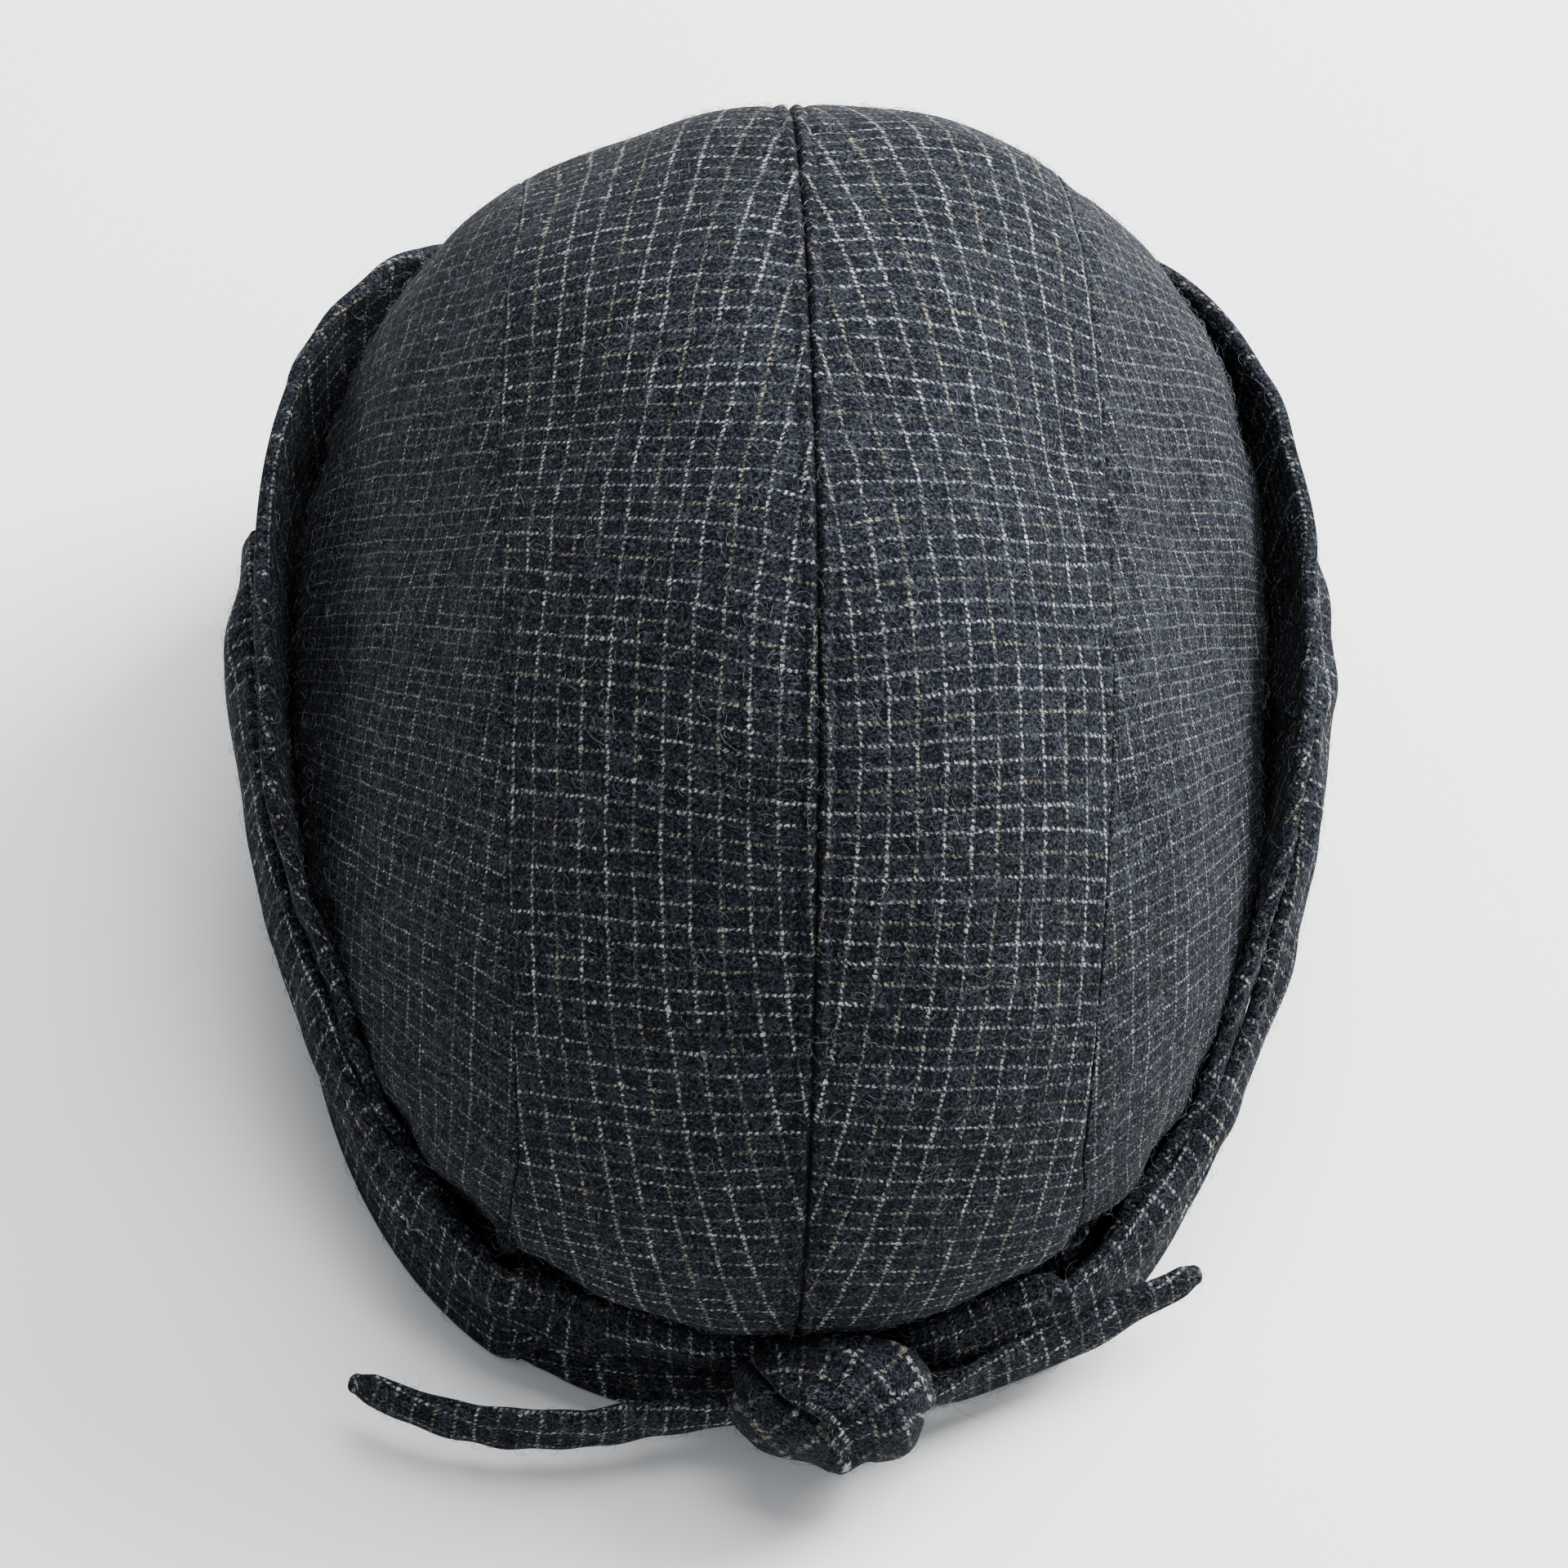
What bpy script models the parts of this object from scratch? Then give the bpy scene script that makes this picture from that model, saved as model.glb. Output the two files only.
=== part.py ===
"""A deerstalker hat of brushed wool cloth, resting on its hem.

Four panels run from front to back over the crown and meet at three seams. The ear flaps are turned
up along the sides. Their cloth ties run round the back, into a knot with two free ends, and a plain
peak stands out in front.

Metres, +Z up. +X is the wearer's right, +Y the front, and Z = 0 is the surface under the hem. The
crown is described by rings, from its top (ring 0) to its hem (ring 1), and by a bearing round the
vertical axis, which is 0 at the right, 90 degrees in front and -90 degrees behind.
"""

import math

import bmesh
import bpy
import numpy as np

# Driving sizes
CROWN_WIDTH = 0.175
CROWN_LENGTH = 0.212
CROWN_HEIGHT = 0.154
CLOTH = 0.0024
GAP = 0.0003
SIDE_SEAM_OFFSET = 0.0525
FLAP_HEIGHT = 0.080
FLAP_CLOTH = 0.0028
FLAP_SPREAD = 0.006
TIE_WIDTH = 0.0120
TIE_CLOTH = 0.0024
TIE_FLARE = 0.0068
KNOT_WIDTH = 0.035
KNOT_DEPTH = 0.020
KNOT_HEIGHT = 0.0260
KNOT_OFFSET = 0.0065
KNOT_LEVEL = 0.140
END_LENGTH_LEFT = 0.066
END_LENGTH_RIGHT = 0.049
END_LEAN_DEG = 12.0
PEAK_DEPTH = 0.046
PEAK_CLOTH = 0.0032
PEAK_ARCH = 0.008
PEAK_LIFT = 0.0045

# How finely the surfaces are divided
STATIONS_ALONG = 36
STRIPS_CENTRE = 8
STRIPS_SIDE = 12
FLAP_STATIONS = 26
FLAP_STRIPS = 6
TIE_STATIONS = 30
TIE_STRIPS = 4
END_STATIONS = 14
PEAK_STATIONS = 24
PEAK_STRIPS = 4

# How curves are read and welded: small steps, numbers of samples and tolerances
NORMAL_STEP = 0.004
BISECTIONS = 40
SEAM_SAMPLES = 241
SEAM_FROM_RING = 0.02
REACH_FROM_RING = 0.45
REACH_SAMPLES = 34
WELD = 1e-7
SHARP_DEG = 50.0

# Rings of the crown from top to hem. "out" is a share of half its width or length, "up" a share of
# its height: a full, high dome that is drawn in by the ties and spreads again to the hem.
CROWN_COLUMNS = ("side_out", "side_up", "front_out", "front_up", "back_out", "back_up")
CROWN_RINGS = (
    (0.000, 1.000, 0.000, 1.000, 0.000, 1.000),
    (0.178, 0.983, 0.214, 0.997, 0.175, 0.977),
    (0.356, 0.935, 0.427, 0.977, 0.350, 0.924),
    (0.511, 0.861, 0.621, 0.932, 0.505, 0.855),
    (0.633, 0.787, 0.777, 0.877, 0.631, 0.768),
    (0.733, 0.697, 0.883, 0.799, 0.748, 0.674),
    (0.822, 0.603, 0.951, 0.708, 0.845, 0.581),
    (0.894, 0.510, 0.985, 0.610, 0.922, 0.484),
    (0.950, 0.419, 1.000, 0.510, 0.976, 0.381),
    (0.989, 0.329, 1.000, 0.405, 1.000, 0.284),
    (1.000, 0.245, 0.990, 0.290, 0.990, 0.213),
    (0.989, 0.174, 0.976, 0.181, 0.947, 0.155),
    (0.972, 0.110, 0.976, 0.103, 0.955, 0.100),
    (0.968, 0.052, 0.985, 0.045, 0.985, 0.045),
    (0.975, 0.000, 0.995, 0.000, 1.010, 0.000),
)
FRONT_FULLNESS = 1.05
BACK_FULLNESS = 0.12
HEM_FULLNESS = 0.45
FULL_FROM_RING = 0.40
HEM_FROM_RING = 0.78
HEM_LEVELLING = 0.6
EGG = 0.075
SEAM_TAPER = 0.10

# The turned-up flap from its front edge to where it runs out under the tie. "spread" is how far its
# top leans out past the hem, as a share of FLAP_SPREAD, and "forward_deg" how far it leans forward.
FLAP_COLUMNS = ("bearing_deg", "height", "spread", "forward_deg")
FLAP_SECTIONS = (
    (57.0, 0.66, 0.35, 10.0),
    (50.0, 0.90, 0.55, 7.0),
    (34.0, 1.00, 0.85, 1.5),
    (14.0, 1.00, 1.00, 0.0),
    (-4.0, 0.92, 0.90, 0.0),
    (-20.0, 0.76, 0.40, 0.0),
    (-34.0, 0.57, -0.35, 0.0),
    (-47.0, 0.41, -0.75, 0.0),
    (-58.0, 0.28, -0.75, 0.0),
    (-66.0, 0.14, -0.85, 0.0),
)

FLAP_LEAN_POWER = 1.2
FLAP_FORWARD_POWER = 1.5
FLAP_END_MARGIN_DEG = 5.0

# The tie from its root on the flap to the side of the knot. "run" is the share of the way round,
# "height" its middle as a share of the crown's height, and "flare" how far its lower edge stands out
# past its upper edge, as a share of TIE_FLARE.
TIE_ROOT_DEG = 22.0
TIE_COLUMNS = ("run", "height", "flare")
TIE_SECTIONS = (
    (0.00, 0.405, 0.00),
    (0.11, 0.400, 0.60),
    (0.25, 0.370, 0.22),
    (0.41, 0.295, 0.06),
    (0.55, 0.220, 0.20),
    (0.70, 0.170, 0.40),
    (0.86, 0.140, 0.22),
    (1.00, 0.120, 0.08),
)
ENVELOPE = 2

# The free ends behind the knot. "reach" is a share of the end's length along X, "back" a share of
# KNOT_DEPTH behind the knot's middle, "height" a share of TIE_WIDTH above the surface below.
END_COLUMNS = ("reach", "back", "height")
END_SECTIONS_LEFT = (
    (0.00, -0.110, 1.08),
    (0.20, -0.035, 1.08),
    (0.45, 0.055, 1.06),
    (0.69, 0.000, 1.06),
    (0.83, -0.130, 1.08),
    (1.00, -0.380, 1.10),
)
END_SECTIONS_RIGHT = (
    (0.00, -0.165, 1.12),
    (0.19, -0.345, 1.15),
    (0.40, -0.600, 1.17),
    (0.60, -0.830, 1.18),
    (0.80, -1.110, 1.20),
    (1.00, -1.355, 1.22),
)

# The knot is fuller than an ellipsoid, and rests against the crown.
# The peak's depth follows its bow from end to end, and its face dips towards the edge.
KNOT_SQUARENESS = 0.8
KNOT_SAMPLES = 21
KNOT_SEGMENTS = 20
KNOT_RINGS = 12
PEAK_END = 0.04
PEAK_FULLNESS = 0.75
PEAK_DIP = 0.75
PEAK_DIP_POWER = 1.5
PEAK_END_CLEARANCE_DEG = 1.5

FINISHES = {
    "wool_crown": ((0.031, 0.036, 0.044, 1.0), 0.95),
    "wool_flap": ((0.027, 0.031, 0.038, 1.0), 0.95),
    "wool_tie": ((0.029, 0.034, 0.041, 1.0), 0.95),
    "wool_peak": ((0.028, 0.033, 0.040, 1.0), 0.95),
}


def smooth_read(rows, place, mirrored_start=False):
    """Read a table of rows at a fractional row number, along a smooth curve through the rows."""
    table = np.asarray(rows, dtype=float)
    last = len(table) - 1
    first = int(np.clip(math.floor(place), 0, last - 1))
    part = place - first
    before = table[first - 1] if first > 0 else 2.0 * table[0] - table[1]
    if first == 0 and mirrored_start:
        before = table[1] * np.array([-1.0, 1.0] * (table.shape[1] // 2))
    after = table[first + 2] if first + 2 <= last else 2.0 * table[last] - table[last - 1]
    start, end = table[first], table[first + 1]
    if part > 1.0:
        return end + (part - 1.0) * (end - start)
    slope_start = 0.5 * (end - before)
    slope_end = 0.5 * (after - start)
    p2, p3 = part * part, part * part * part
    return (
        (2 * p3 - 3 * p2 + 1) * start
        + (p3 - 2 * p2 + part) * slope_start
        + (3 * p2 - 2 * p3) * end
        + (p3 - p2) * slope_end
    )


def crown_point(ring, bearing):
    """Point on the crown's outer face. Ring runs from 0 at the top to 1 at the hem."""
    row = dict(zip(CROWN_COLUMNS, smooth_read(CROWN_RINGS, ring * (len(CROWN_RINGS) - 1), True)))
    c, s = math.cos(bearing), math.sin(bearing)
    end = "front" if s >= 0.0 else "back"
    half_width = max(row["side_out"] * CROWN_WIDTH / 2, 1e-9)
    half_length = max(row[end + "_out"] * CROWN_LENGTH / 2, 1e-9)
    to_hem = max(ring - HEM_FROM_RING, 0.0) / (1.0 - HEM_FROM_RING)
    back_fullness = BACK_FULLNESS + (HEM_FULLNESS - BACK_FULLNESS) * to_hem
    forward = 0.5 + 0.5 * s
    fullness = back_fullness + (FRONT_FULLNESS - back_fullness) * forward * forward * (3.0 - 2.0 * forward)
    power = 2.0 + fullness * min(ring / FULL_FROM_RING, 1.0)
    reach = (abs(c / half_width) ** power + abs(s / half_length) ** power) ** (-1.0 / power)
    up = row["side_up"] * c * c + row[end + "_up"] * s * s
    reach *= 1.0 + EGG * s * c * c
    return np.array([reach * c, reach * s, up * CROWN_HEIGHT])


def crown_at(across, along):
    """Point on the crown for a place in the unit disc, +across to the right and +along forward."""
    return crown_point(math.hypot(across, along), math.atan2(along, across))


def crown_normal(across, along):
    """Outward normal of the crown at a place in the unit disc."""
    over = crown_at(across + NORMAL_STEP, along) - crown_at(across - NORMAL_STEP, along)
    forward = crown_at(across, along + NORMAL_STEP) - crown_at(across, along - NORMAL_STEP)
    normal = np.cross(over, forward)
    return normal / np.linalg.norm(normal)


def seam_x(y):
    """Half the distance between the two side seams, a little less towards both ends."""
    return SIDE_SEAM_OFFSET * (1.0 - SEAM_TAPER * (2.0 * y / CROWN_LENGTH) ** 2)


def bisect(side, low, high):
    """Place between low and high where side() changes sign, with side(low) below zero."""
    for _ in range(BISECTIONS):
        middle = 0.5 * (low + high)
        if side(middle) < 0.0:
            low = middle
        else:
            high = middle
    return 0.5 * (low + high)


def inside_seam(ring, bearing):
    """Below zero for a place between the mid-plane and the right side seam."""
    point = crown_point(ring, bearing)
    return point[0] - seam_x(point[1])


def seam_stations():
    """Places (ring, bearing) along the right side seam, evenly spaced from back to front."""
    quarter = math.pi / 2
    back = -bisect(lambda b: -inside_seam(1.0, -b), 0.0, quarter)
    front = bisect(lambda b: -inside_seam(1.0, b), 0.0, quarter)
    bearings = np.linspace(back, front, SEAM_SAMPLES)
    rings = [bisect(lambda r, b=b: inside_seam(r, b), SEAM_FROM_RING, 1.0) for b in bearings]
    points = np.array([crown_point(r, b) for r, b in zip(rings, bearings)])
    run = np.concatenate([[0.0], np.cumsum(np.linalg.norm(np.diff(points, axis=0), axis=1))])
    even = np.linspace(0.0, run[-1], STATIONS_ALONG + 1)
    stations = [[float(np.interp(e, run, rings)), float(np.interp(e, run, bearings))] for e in even]
    stations[0][0] = stations[-1][0] = 1.0
    return stations


def cloth_pair(across, along, on_hem):
    """Outer and inner point of the crown's wall at a place in the disc."""
    outer = crown_at(across, along)
    normal = crown_normal(across, along)
    inner = outer - CLOTH * normal
    inner[2] = max(inner[2], HEM_LEVELLING * outer[2])
    if on_hem:
        flat = np.array([normal[0], normal[1], 0.0])
        inner = outer - CLOTH * flat / np.linalg.norm(flat)
        outer[2] = inner[2] = 0.0
    return outer, inner


def open_seams(point, inner_x, outer_x):
    """Move a point of the right half off the seams on both its sides by half a gap."""
    span = max(outer_x - inner_x, 1e-6)
    share = np.clip((point[0] - inner_x) / span, 0.0, 1.0)
    point[0] += (1.0 - 2.0 * share) * GAP / 2
    return point


def centre_panel_grids(side):
    """Outer and inner grids of a centre panel, for side +1 (right) or -1 (left)."""
    stations = seam_stations()
    ends = {}
    for name, (_, bearing) in (("back", stations[0]), ("front", stations[-1])):
        ends[name] = (math.cos(bearing), abs(math.sin(bearing)))
    outer, inner = [], []
    for number, (ring, bearing) in enumerate(stations):
        on_hem = number in (0, STATIONS_ALONG)
        across_seam, along_seam = ring * math.cos(bearing), ring * math.sin(bearing)
        end_across, end_along = ends["front" if along_seam >= 0.0 else "back"]
        outer_row, inner_row = [], []
        for strip in range(STRIPS_CENTRE + 1):
            share = strip / STRIPS_CENTRE
            stretch = math.sqrt(1.0 - (share * end_across) ** 2) / end_along
            pair = cloth_pair(share * across_seam, along_seam * stretch, on_hem)
            edge = seam_x(pair[0][1])
            pair = [open_seams(p, 0.0, edge) for p in pair]
            outer_row.append(pair[0] * (side, 1, 1))
            inner_row.append(pair[1] * (side, 1, 1))
        outer.append(outer_row)
        inner.append(inner_row)
    return outer, inner


def side_panel_grids(side):
    """Outer and inner grids of a side panel, from the side seam down to the hem."""
    outer, inner = [], []
    for ring, bearing in seam_stations():
        outer_row, inner_row = [], []
        for strip in range(STRIPS_SIDE + 1):
            level = ring + (1.0 - ring) * strip / STRIPS_SIDE
            pair = cloth_pair(level * math.cos(bearing), level * math.sin(bearing), strip == STRIPS_SIDE)
            fade = GAP / 2 * (1.0 - strip / STRIPS_SIDE)
            outer_row.append((pair[0] + (fade, 0, 0)) * (side, 1, 1))
            inner_row.append((pair[1] + (fade, 0, 0)) * (side, 1, 1))
        outer.append(outer_row)
        inner.append(inner_row)
    return outer, inner


def radial(bearing, reach, z):
    """Point at a distance from the vertical axis."""
    return np.array([reach * math.cos(bearing), reach * math.sin(bearing), z])


def crown_reach(bearing, z):
    """Distance from the vertical axis to the crown's outer face at a height in its lower half."""
    points = [crown_point(r, bearing) for r in np.linspace(1.0, REACH_FROM_RING, REACH_SAMPLES)]
    heights = [p[2] for p in points]
    reaches = [math.hypot(p[0], p[1]) for p in points]
    return float(np.interp(z, heights, reaches))


def row_at(columns, sections, share):
    """One section of a table, at a share of the way along it."""
    return dict(zip(columns, smooth_read(sections, share * (len(sections) - 1))))


def flap_inner_reach(bearing, z, height, spread):
    """Distance of the flap's inner face from the axis: past the hem, and clear of the crown."""
    hem = crown_reach(bearing, 0.0)
    lean = spread * FLAP_SPREAD * (z / height) ** FLAP_LEAN_POWER
    return max(hem + lean, crown_reach(bearing, z)) + GAP


def flap_grids(side):
    """Outer and inner grids of a turned-up ear flap."""
    outer, inner = [], []
    for station in range(FLAP_STATIONS + 1):
        row = row_at(FLAP_COLUMNS, FLAP_SECTIONS, station / FLAP_STATIONS)
        bearing = math.radians(row["bearing_deg"])
        height = row["height"] * FLAP_HEIGHT
        outer_row, inner_row = [], []
        for strip in range(FLAP_STRIPS + 1):
            z = GAP + (height - GAP) * strip / FLAP_STRIPS
            turned = bearing + math.radians(row["forward_deg"]) * (z / height) ** FLAP_FORWARD_POWER
            reach = flap_inner_reach(turned, z, height, row["spread"])
            inner_row.append(radial(turned, reach, z) * (side, 1, 1))
            outer_row.append(radial(turned, reach + FLAP_CLOTH, z) * (side, 1, 1))
        outer.append(outer_row)
        inner.append(inner_row)
    return outer, inner


def flap_outer_reach(bearing, z):
    """Distance of the flap's outer face from the axis, or zero well away from the flap."""
    degrees = math.degrees(bearing)
    front, rear = FLAP_SECTIONS[0][0], FLAP_SECTIONS[-1][0]
    if not rear - FLAP_END_MARGIN_DEG <= degrees <= front + FLAP_END_MARGIN_DEG:
        return 0.0
    degrees = min(max(degrees, rear), front)
    share = bisect(lambda t: degrees - row_at(FLAP_COLUMNS, FLAP_SECTIONS, t)["bearing_deg"], 0.0, 1.0)
    row = row_at(FLAP_COLUMNS, FLAP_SECTIONS, share)
    height = row["height"] * FLAP_HEIGHT
    if z > height + TIE_WIDTH:
        return 0.0
    return flap_inner_reach(bearing, min(z, height), height, row["spread"]) + FLAP_CLOTH


def upper_envelope(values):
    """Smooth rows of values along the first axis, nowhere below the values themselves."""
    padded = np.pad(values, ((ENVELOPE, ENVELOPE), (0, 0)), mode="edge")
    count = len(values)
    highest = np.max([padded[k : k + count] for k in range(2 * ENVELOPE + 1)], axis=0)
    padded = np.pad(highest, ((ENVELOPE, ENVELOPE), (0, 0)), mode="edge")
    return np.mean([padded[k : k + count] for k in range(2 * ENVELOPE + 1)], axis=0)


def tie_end_bearing(side):
    """Bearing where the tie meets the side of the knot."""
    middle = knot_middle()
    behind = crown_reach(math.radians(-90.0), TIE_SECTIONS[-1][1] * CROWN_HEIGHT)
    reach = behind + TIE_CLOTH + TIE_FLARE / 4
    beside_knot = KNOT_WIDTH / 2 * knot_profile((-middle[1] - reach) / (KNOT_DEPTH / 2))
    return -math.acos((beside_knot + side * middle[0] + GAP) / reach)


def knot_profile(share):
    """Share of the knot's half size that is left at a share of another half size from its middle."""
    power = 2.0 / KNOT_SQUARENESS
    return (1.0 - min(abs(share), 1.0) ** power) ** (1.0 / power)


def tie_grids(side):
    """Outer and inner grids of a tie: its upper edge on the flap or crown, its lower edge flared."""
    root = math.radians(TIE_ROOT_DEG)
    end = tie_end_bearing(side)
    rows = [row_at(TIE_COLUMNS, TIE_SECTIONS, n / TIE_STATIONS) for n in range(TIE_STATIONS + 1)]
    bearings = [root + (end - root) * row["run"] for row in rows]
    flares = [row["flare"] * TIE_FLARE for row in rows]
    rises = [math.sqrt(TIE_WIDTH**2 - flare**2) for flare in flares]
    across = np.linspace(-0.5, 0.5, TIE_STRIPS + 1)
    heights = np.array([row["height"] * CROWN_HEIGHT + rise * across for row, rise in zip(rows, rises)])
    crown = np.array([[crown_reach(b, z) for z in line] for b, line in zip(bearings, heights)])
    flap = np.array([[flap_outer_reach(b, z) for z in line] for b, line in zip(bearings, heights)])
    under = crown + upper_envelope(np.maximum(flap - crown, 0.0))
    outer, inner = [], []
    for flare, bearing, line, reaches in zip(flares, bearings, heights, under):
        # the strap stays flat across its width, so a hollow under it is bridged
        flat = flare * (0.5 - across)
        face = flat + max(reaches - flat) + GAP
        outer.append([radial(bearing, f + TIE_CLOTH, z) * (side, 1, 1) for f, z in zip(face, line)])
        inner.append([radial(bearing, f, z) * (side, 1, 1) for f, z in zip(face, line)])
    return outer, inner


def knot_middle():
    """Middle of the knot, behind the ends of both ties."""
    height = KNOT_LEVEL * CROWN_HEIGHT
    reaches = []
    for share in np.linspace(-1.0, 1.0, KNOT_SAMPLES):
        behind = crown_reach(math.radians(-90.0), height + share * KNOT_HEIGHT / 2)
        reaches.append(behind + KNOT_DEPTH / 2 * knot_profile(share))
    return np.array([KNOT_OFFSET, -(max(reaches) + GAP), height])


def end_grids(side, sections, length):
    """Outer and inner grids of a free end that stands on edge behind the knot, leaning outwards."""
    middle = knot_middle()
    root_x = middle[0] + side * (KNOT_WIDTH / 2 + GAP)
    lean = math.radians(END_LEAN_DEG)
    centres = []
    for station in range(END_STATIONS + 1):
        row = row_at(END_COLUMNS, sections, station / END_STATIONS)
        x = root_x + side * row["reach"] * length
        y = middle[1] - row["back"] * KNOT_DEPTH
        centres.append(np.array([x, y, row["height"] * TIE_WIDTH]))
    outer, inner = [], []
    for number, centre in enumerate(centres):
        before = centres[max(number - 1, 0)]
        after = centres[min(number + 1, END_STATIONS)]
        along = (after - before)[:2] / np.linalg.norm((after - before)[:2])
        away = np.array([along[1], -along[0], 0.0]) * side
        across = (away * math.cos(lean) - np.array([0.0, 0.0, math.sin(lean)])) * TIE_CLOTH / 2
        up = (away * math.sin(lean) + np.array([0.0, 0.0, math.cos(lean)])) * TIE_WIDTH / 2
        outer.append([centre + across - up, centre + across + up])
        inner.append([centre - across - up, centre - across + up])
    return outer, inner


def peak_grids():
    """Outer (upper) and inner (lower) grids of the peak, a crescent between the two flaps."""
    half_span = math.radians(90.0 - FLAP_SECTIONS[0][0] - PEAK_END_CLEARANCE_DEG)
    upper, lower = [], []
    for station in range(PEAK_STATIONS + 1):
        share = 2.0 * station / PEAK_STATIONS - 1.0
        bearing = math.pi / 2 + share * half_span
        bow = 1.0 - share * share
        base = PEAK_LIFT + PEAK_ARCH * bow
        depth = PEAK_DEPTH * max(bow, PEAK_END) ** PEAK_FULLNESS
        root = crown_reach(bearing, base - PEAK_CLOTH / 2) + GAP
        upper_row, lower_row = [], []
        for strip in range(PEAK_STRIPS + 1):
            out = strip / PEAK_STRIPS
            z = base + (PEAK_LIFT - base) * PEAK_DIP * out**PEAK_DIP_POWER
            upper_row.append(radial(bearing, root + depth * out, z + PEAK_CLOTH / 2))
            lower_row.append(radial(bearing, root + depth * out, z - PEAK_CLOTH / 2))
        upper.append(upper_row)
        lower.append(lower_row)
    return upper, lower


def make_material(name):
    """A plain cloth material."""
    colour, roughness = FINISHES[name]
    material = bpy.data.materials.get(name) or bpy.data.materials.new(name)
    material.use_nodes = True
    shader = material.node_tree.nodes["Principled BSDF"]
    shader.inputs["Base Color"].default_value = colour
    shader.inputs["Roughness"].default_value = roughness
    shader.inputs["Metallic"].default_value = 0.0
    return material


def add_object(name, bm, material, collection):
    """Close, orient and name a piece, and put it in the hat's collection."""
    bmesh.ops.remove_doubles(bm, verts=bm.verts, dist=WELD)
    bmesh.ops.dissolve_degenerate(bm, edges=bm.edges, dist=WELD / 10)
    bmesh.ops.recalc_face_normals(bm, faces=bm.faces)
    mesh = bpy.data.meshes.new(name)
    bm.to_mesh(mesh)
    bm.free()
    mesh.shade_smooth()
    mesh.set_sharp_from_angle(angle=math.radians(SHARP_DEG))
    mesh.materials.append(make_material(material))
    piece = bpy.data.objects.new(name, mesh)
    collection.objects.link(piece)
    return piece


def add_wall(name, grids, material, collection):
    """A closed wall lofted between an outer and an inner grid of points."""
    bm = bmesh.new()
    outer, inner = ([[bm.verts.new(p) for p in row] for row in grid] for grid in grids)
    rows, columns = len(outer), len(outer[0])
    for i in range(rows - 1):
        for j in range(columns - 1):
            bm.faces.new((outer[i][j], outer[i + 1][j], outer[i + 1][j + 1], outer[i][j + 1]))
            bm.faces.new((inner[i][j], inner[i][j + 1], inner[i + 1][j + 1], inner[i + 1][j]))
    for i in range(rows - 1):
        for j in (0, columns - 1):
            bm.faces.new((outer[i][j], outer[i + 1][j], inner[i + 1][j], inner[i][j]))
    for j in range(columns - 1):
        for i in (0, rows - 1):
            bm.faces.new((outer[i][j], outer[i][j + 1], inner[i][j + 1], inner[i][j]))
    return add_object(name, bm, material, collection)


def add_knot(collection):
    """The knot: a full, rounded wrap of the tie's cloth."""
    bm = bmesh.new()
    bmesh.ops.create_uvsphere(bm, u_segments=KNOT_SEGMENTS, v_segments=KNOT_RINGS, radius=1.0)
    half = np.array([KNOT_WIDTH, KNOT_DEPTH, KNOT_HEIGHT]) / 2
    middle = knot_middle()
    for vert in bm.verts:
        flat = np.array(vert.co)
        full = np.sign(flat) * np.abs(flat) ** KNOT_SQUARENESS
        vert.co = middle + half * full
    return add_object("knot", bm, "wool_tie", collection)


def stand_on_origin(pieces):
    """Move every piece so that the origin is under the middle of the whole hat."""
    corners = np.array([v.co for piece in pieces for v in piece.data.vertices])
    low, high = corners.min(axis=0), corners.max(axis=0)
    shift = np.array([(low[0] + high[0]) / 2, (low[1] + high[1]) / 2, low[2]])
    for piece in pieces:
        for vert in piece.data.vertices:
            vert.co = np.array(vert.co) - shift


def build():
    """Build the whole hat."""
    for old in list(bpy.data.objects):
        bpy.data.objects.remove(old)
    collection = bpy.data.collections.new("deerstalker_hat")
    bpy.context.scene.collection.children.link(collection)
    pieces = []
    for name, side in (("right", 1), ("left", -1)):
        walls = (
            ("crown_panel_centre_", centre_panel_grids(side), "wool_crown"),
            ("crown_panel_side_", side_panel_grids(side), "wool_crown"),
            ("ear_flap_", flap_grids(side), "wool_flap"),
            ("tie_", tie_grids(side), "wool_tie"),
        )
        pieces += [add_wall(node + name, grids, finish, collection) for node, grids, finish in walls]
    ends = (
        ("tie_end_left", end_grids(-1, END_SECTIONS_LEFT, END_LENGTH_LEFT)),
        ("tie_end_right", end_grids(1, END_SECTIONS_RIGHT, END_LENGTH_RIGHT)),
    )
    pieces += [add_wall(node, grids, "wool_tie", collection) for node, grids in ends]
    pieces.append(add_knot(collection))
    pieces.append(add_wall("front_peak", peak_grids(), "wool_peak", collection))
    stand_on_origin(pieces)


build()
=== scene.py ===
"""A deerstalker hat of brushed, checked wool: the cloth, seams, folds and nap of every piece.

The crown's four panels, the turned-up ear flaps, the ties with their knot and the front peak are
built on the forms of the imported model, in metres, with +Z up, +Y the front and +X the wearer's right.
A bearing goes round the vertical axis: 0 at the right, 90 degrees in front, -90 degrees behind.
"""

import logging
import math
from dataclasses import dataclass, field
from enum import Enum

import bmesh
import bpy
import numpy as np
from mathutils import Matrix, Vector

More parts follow.
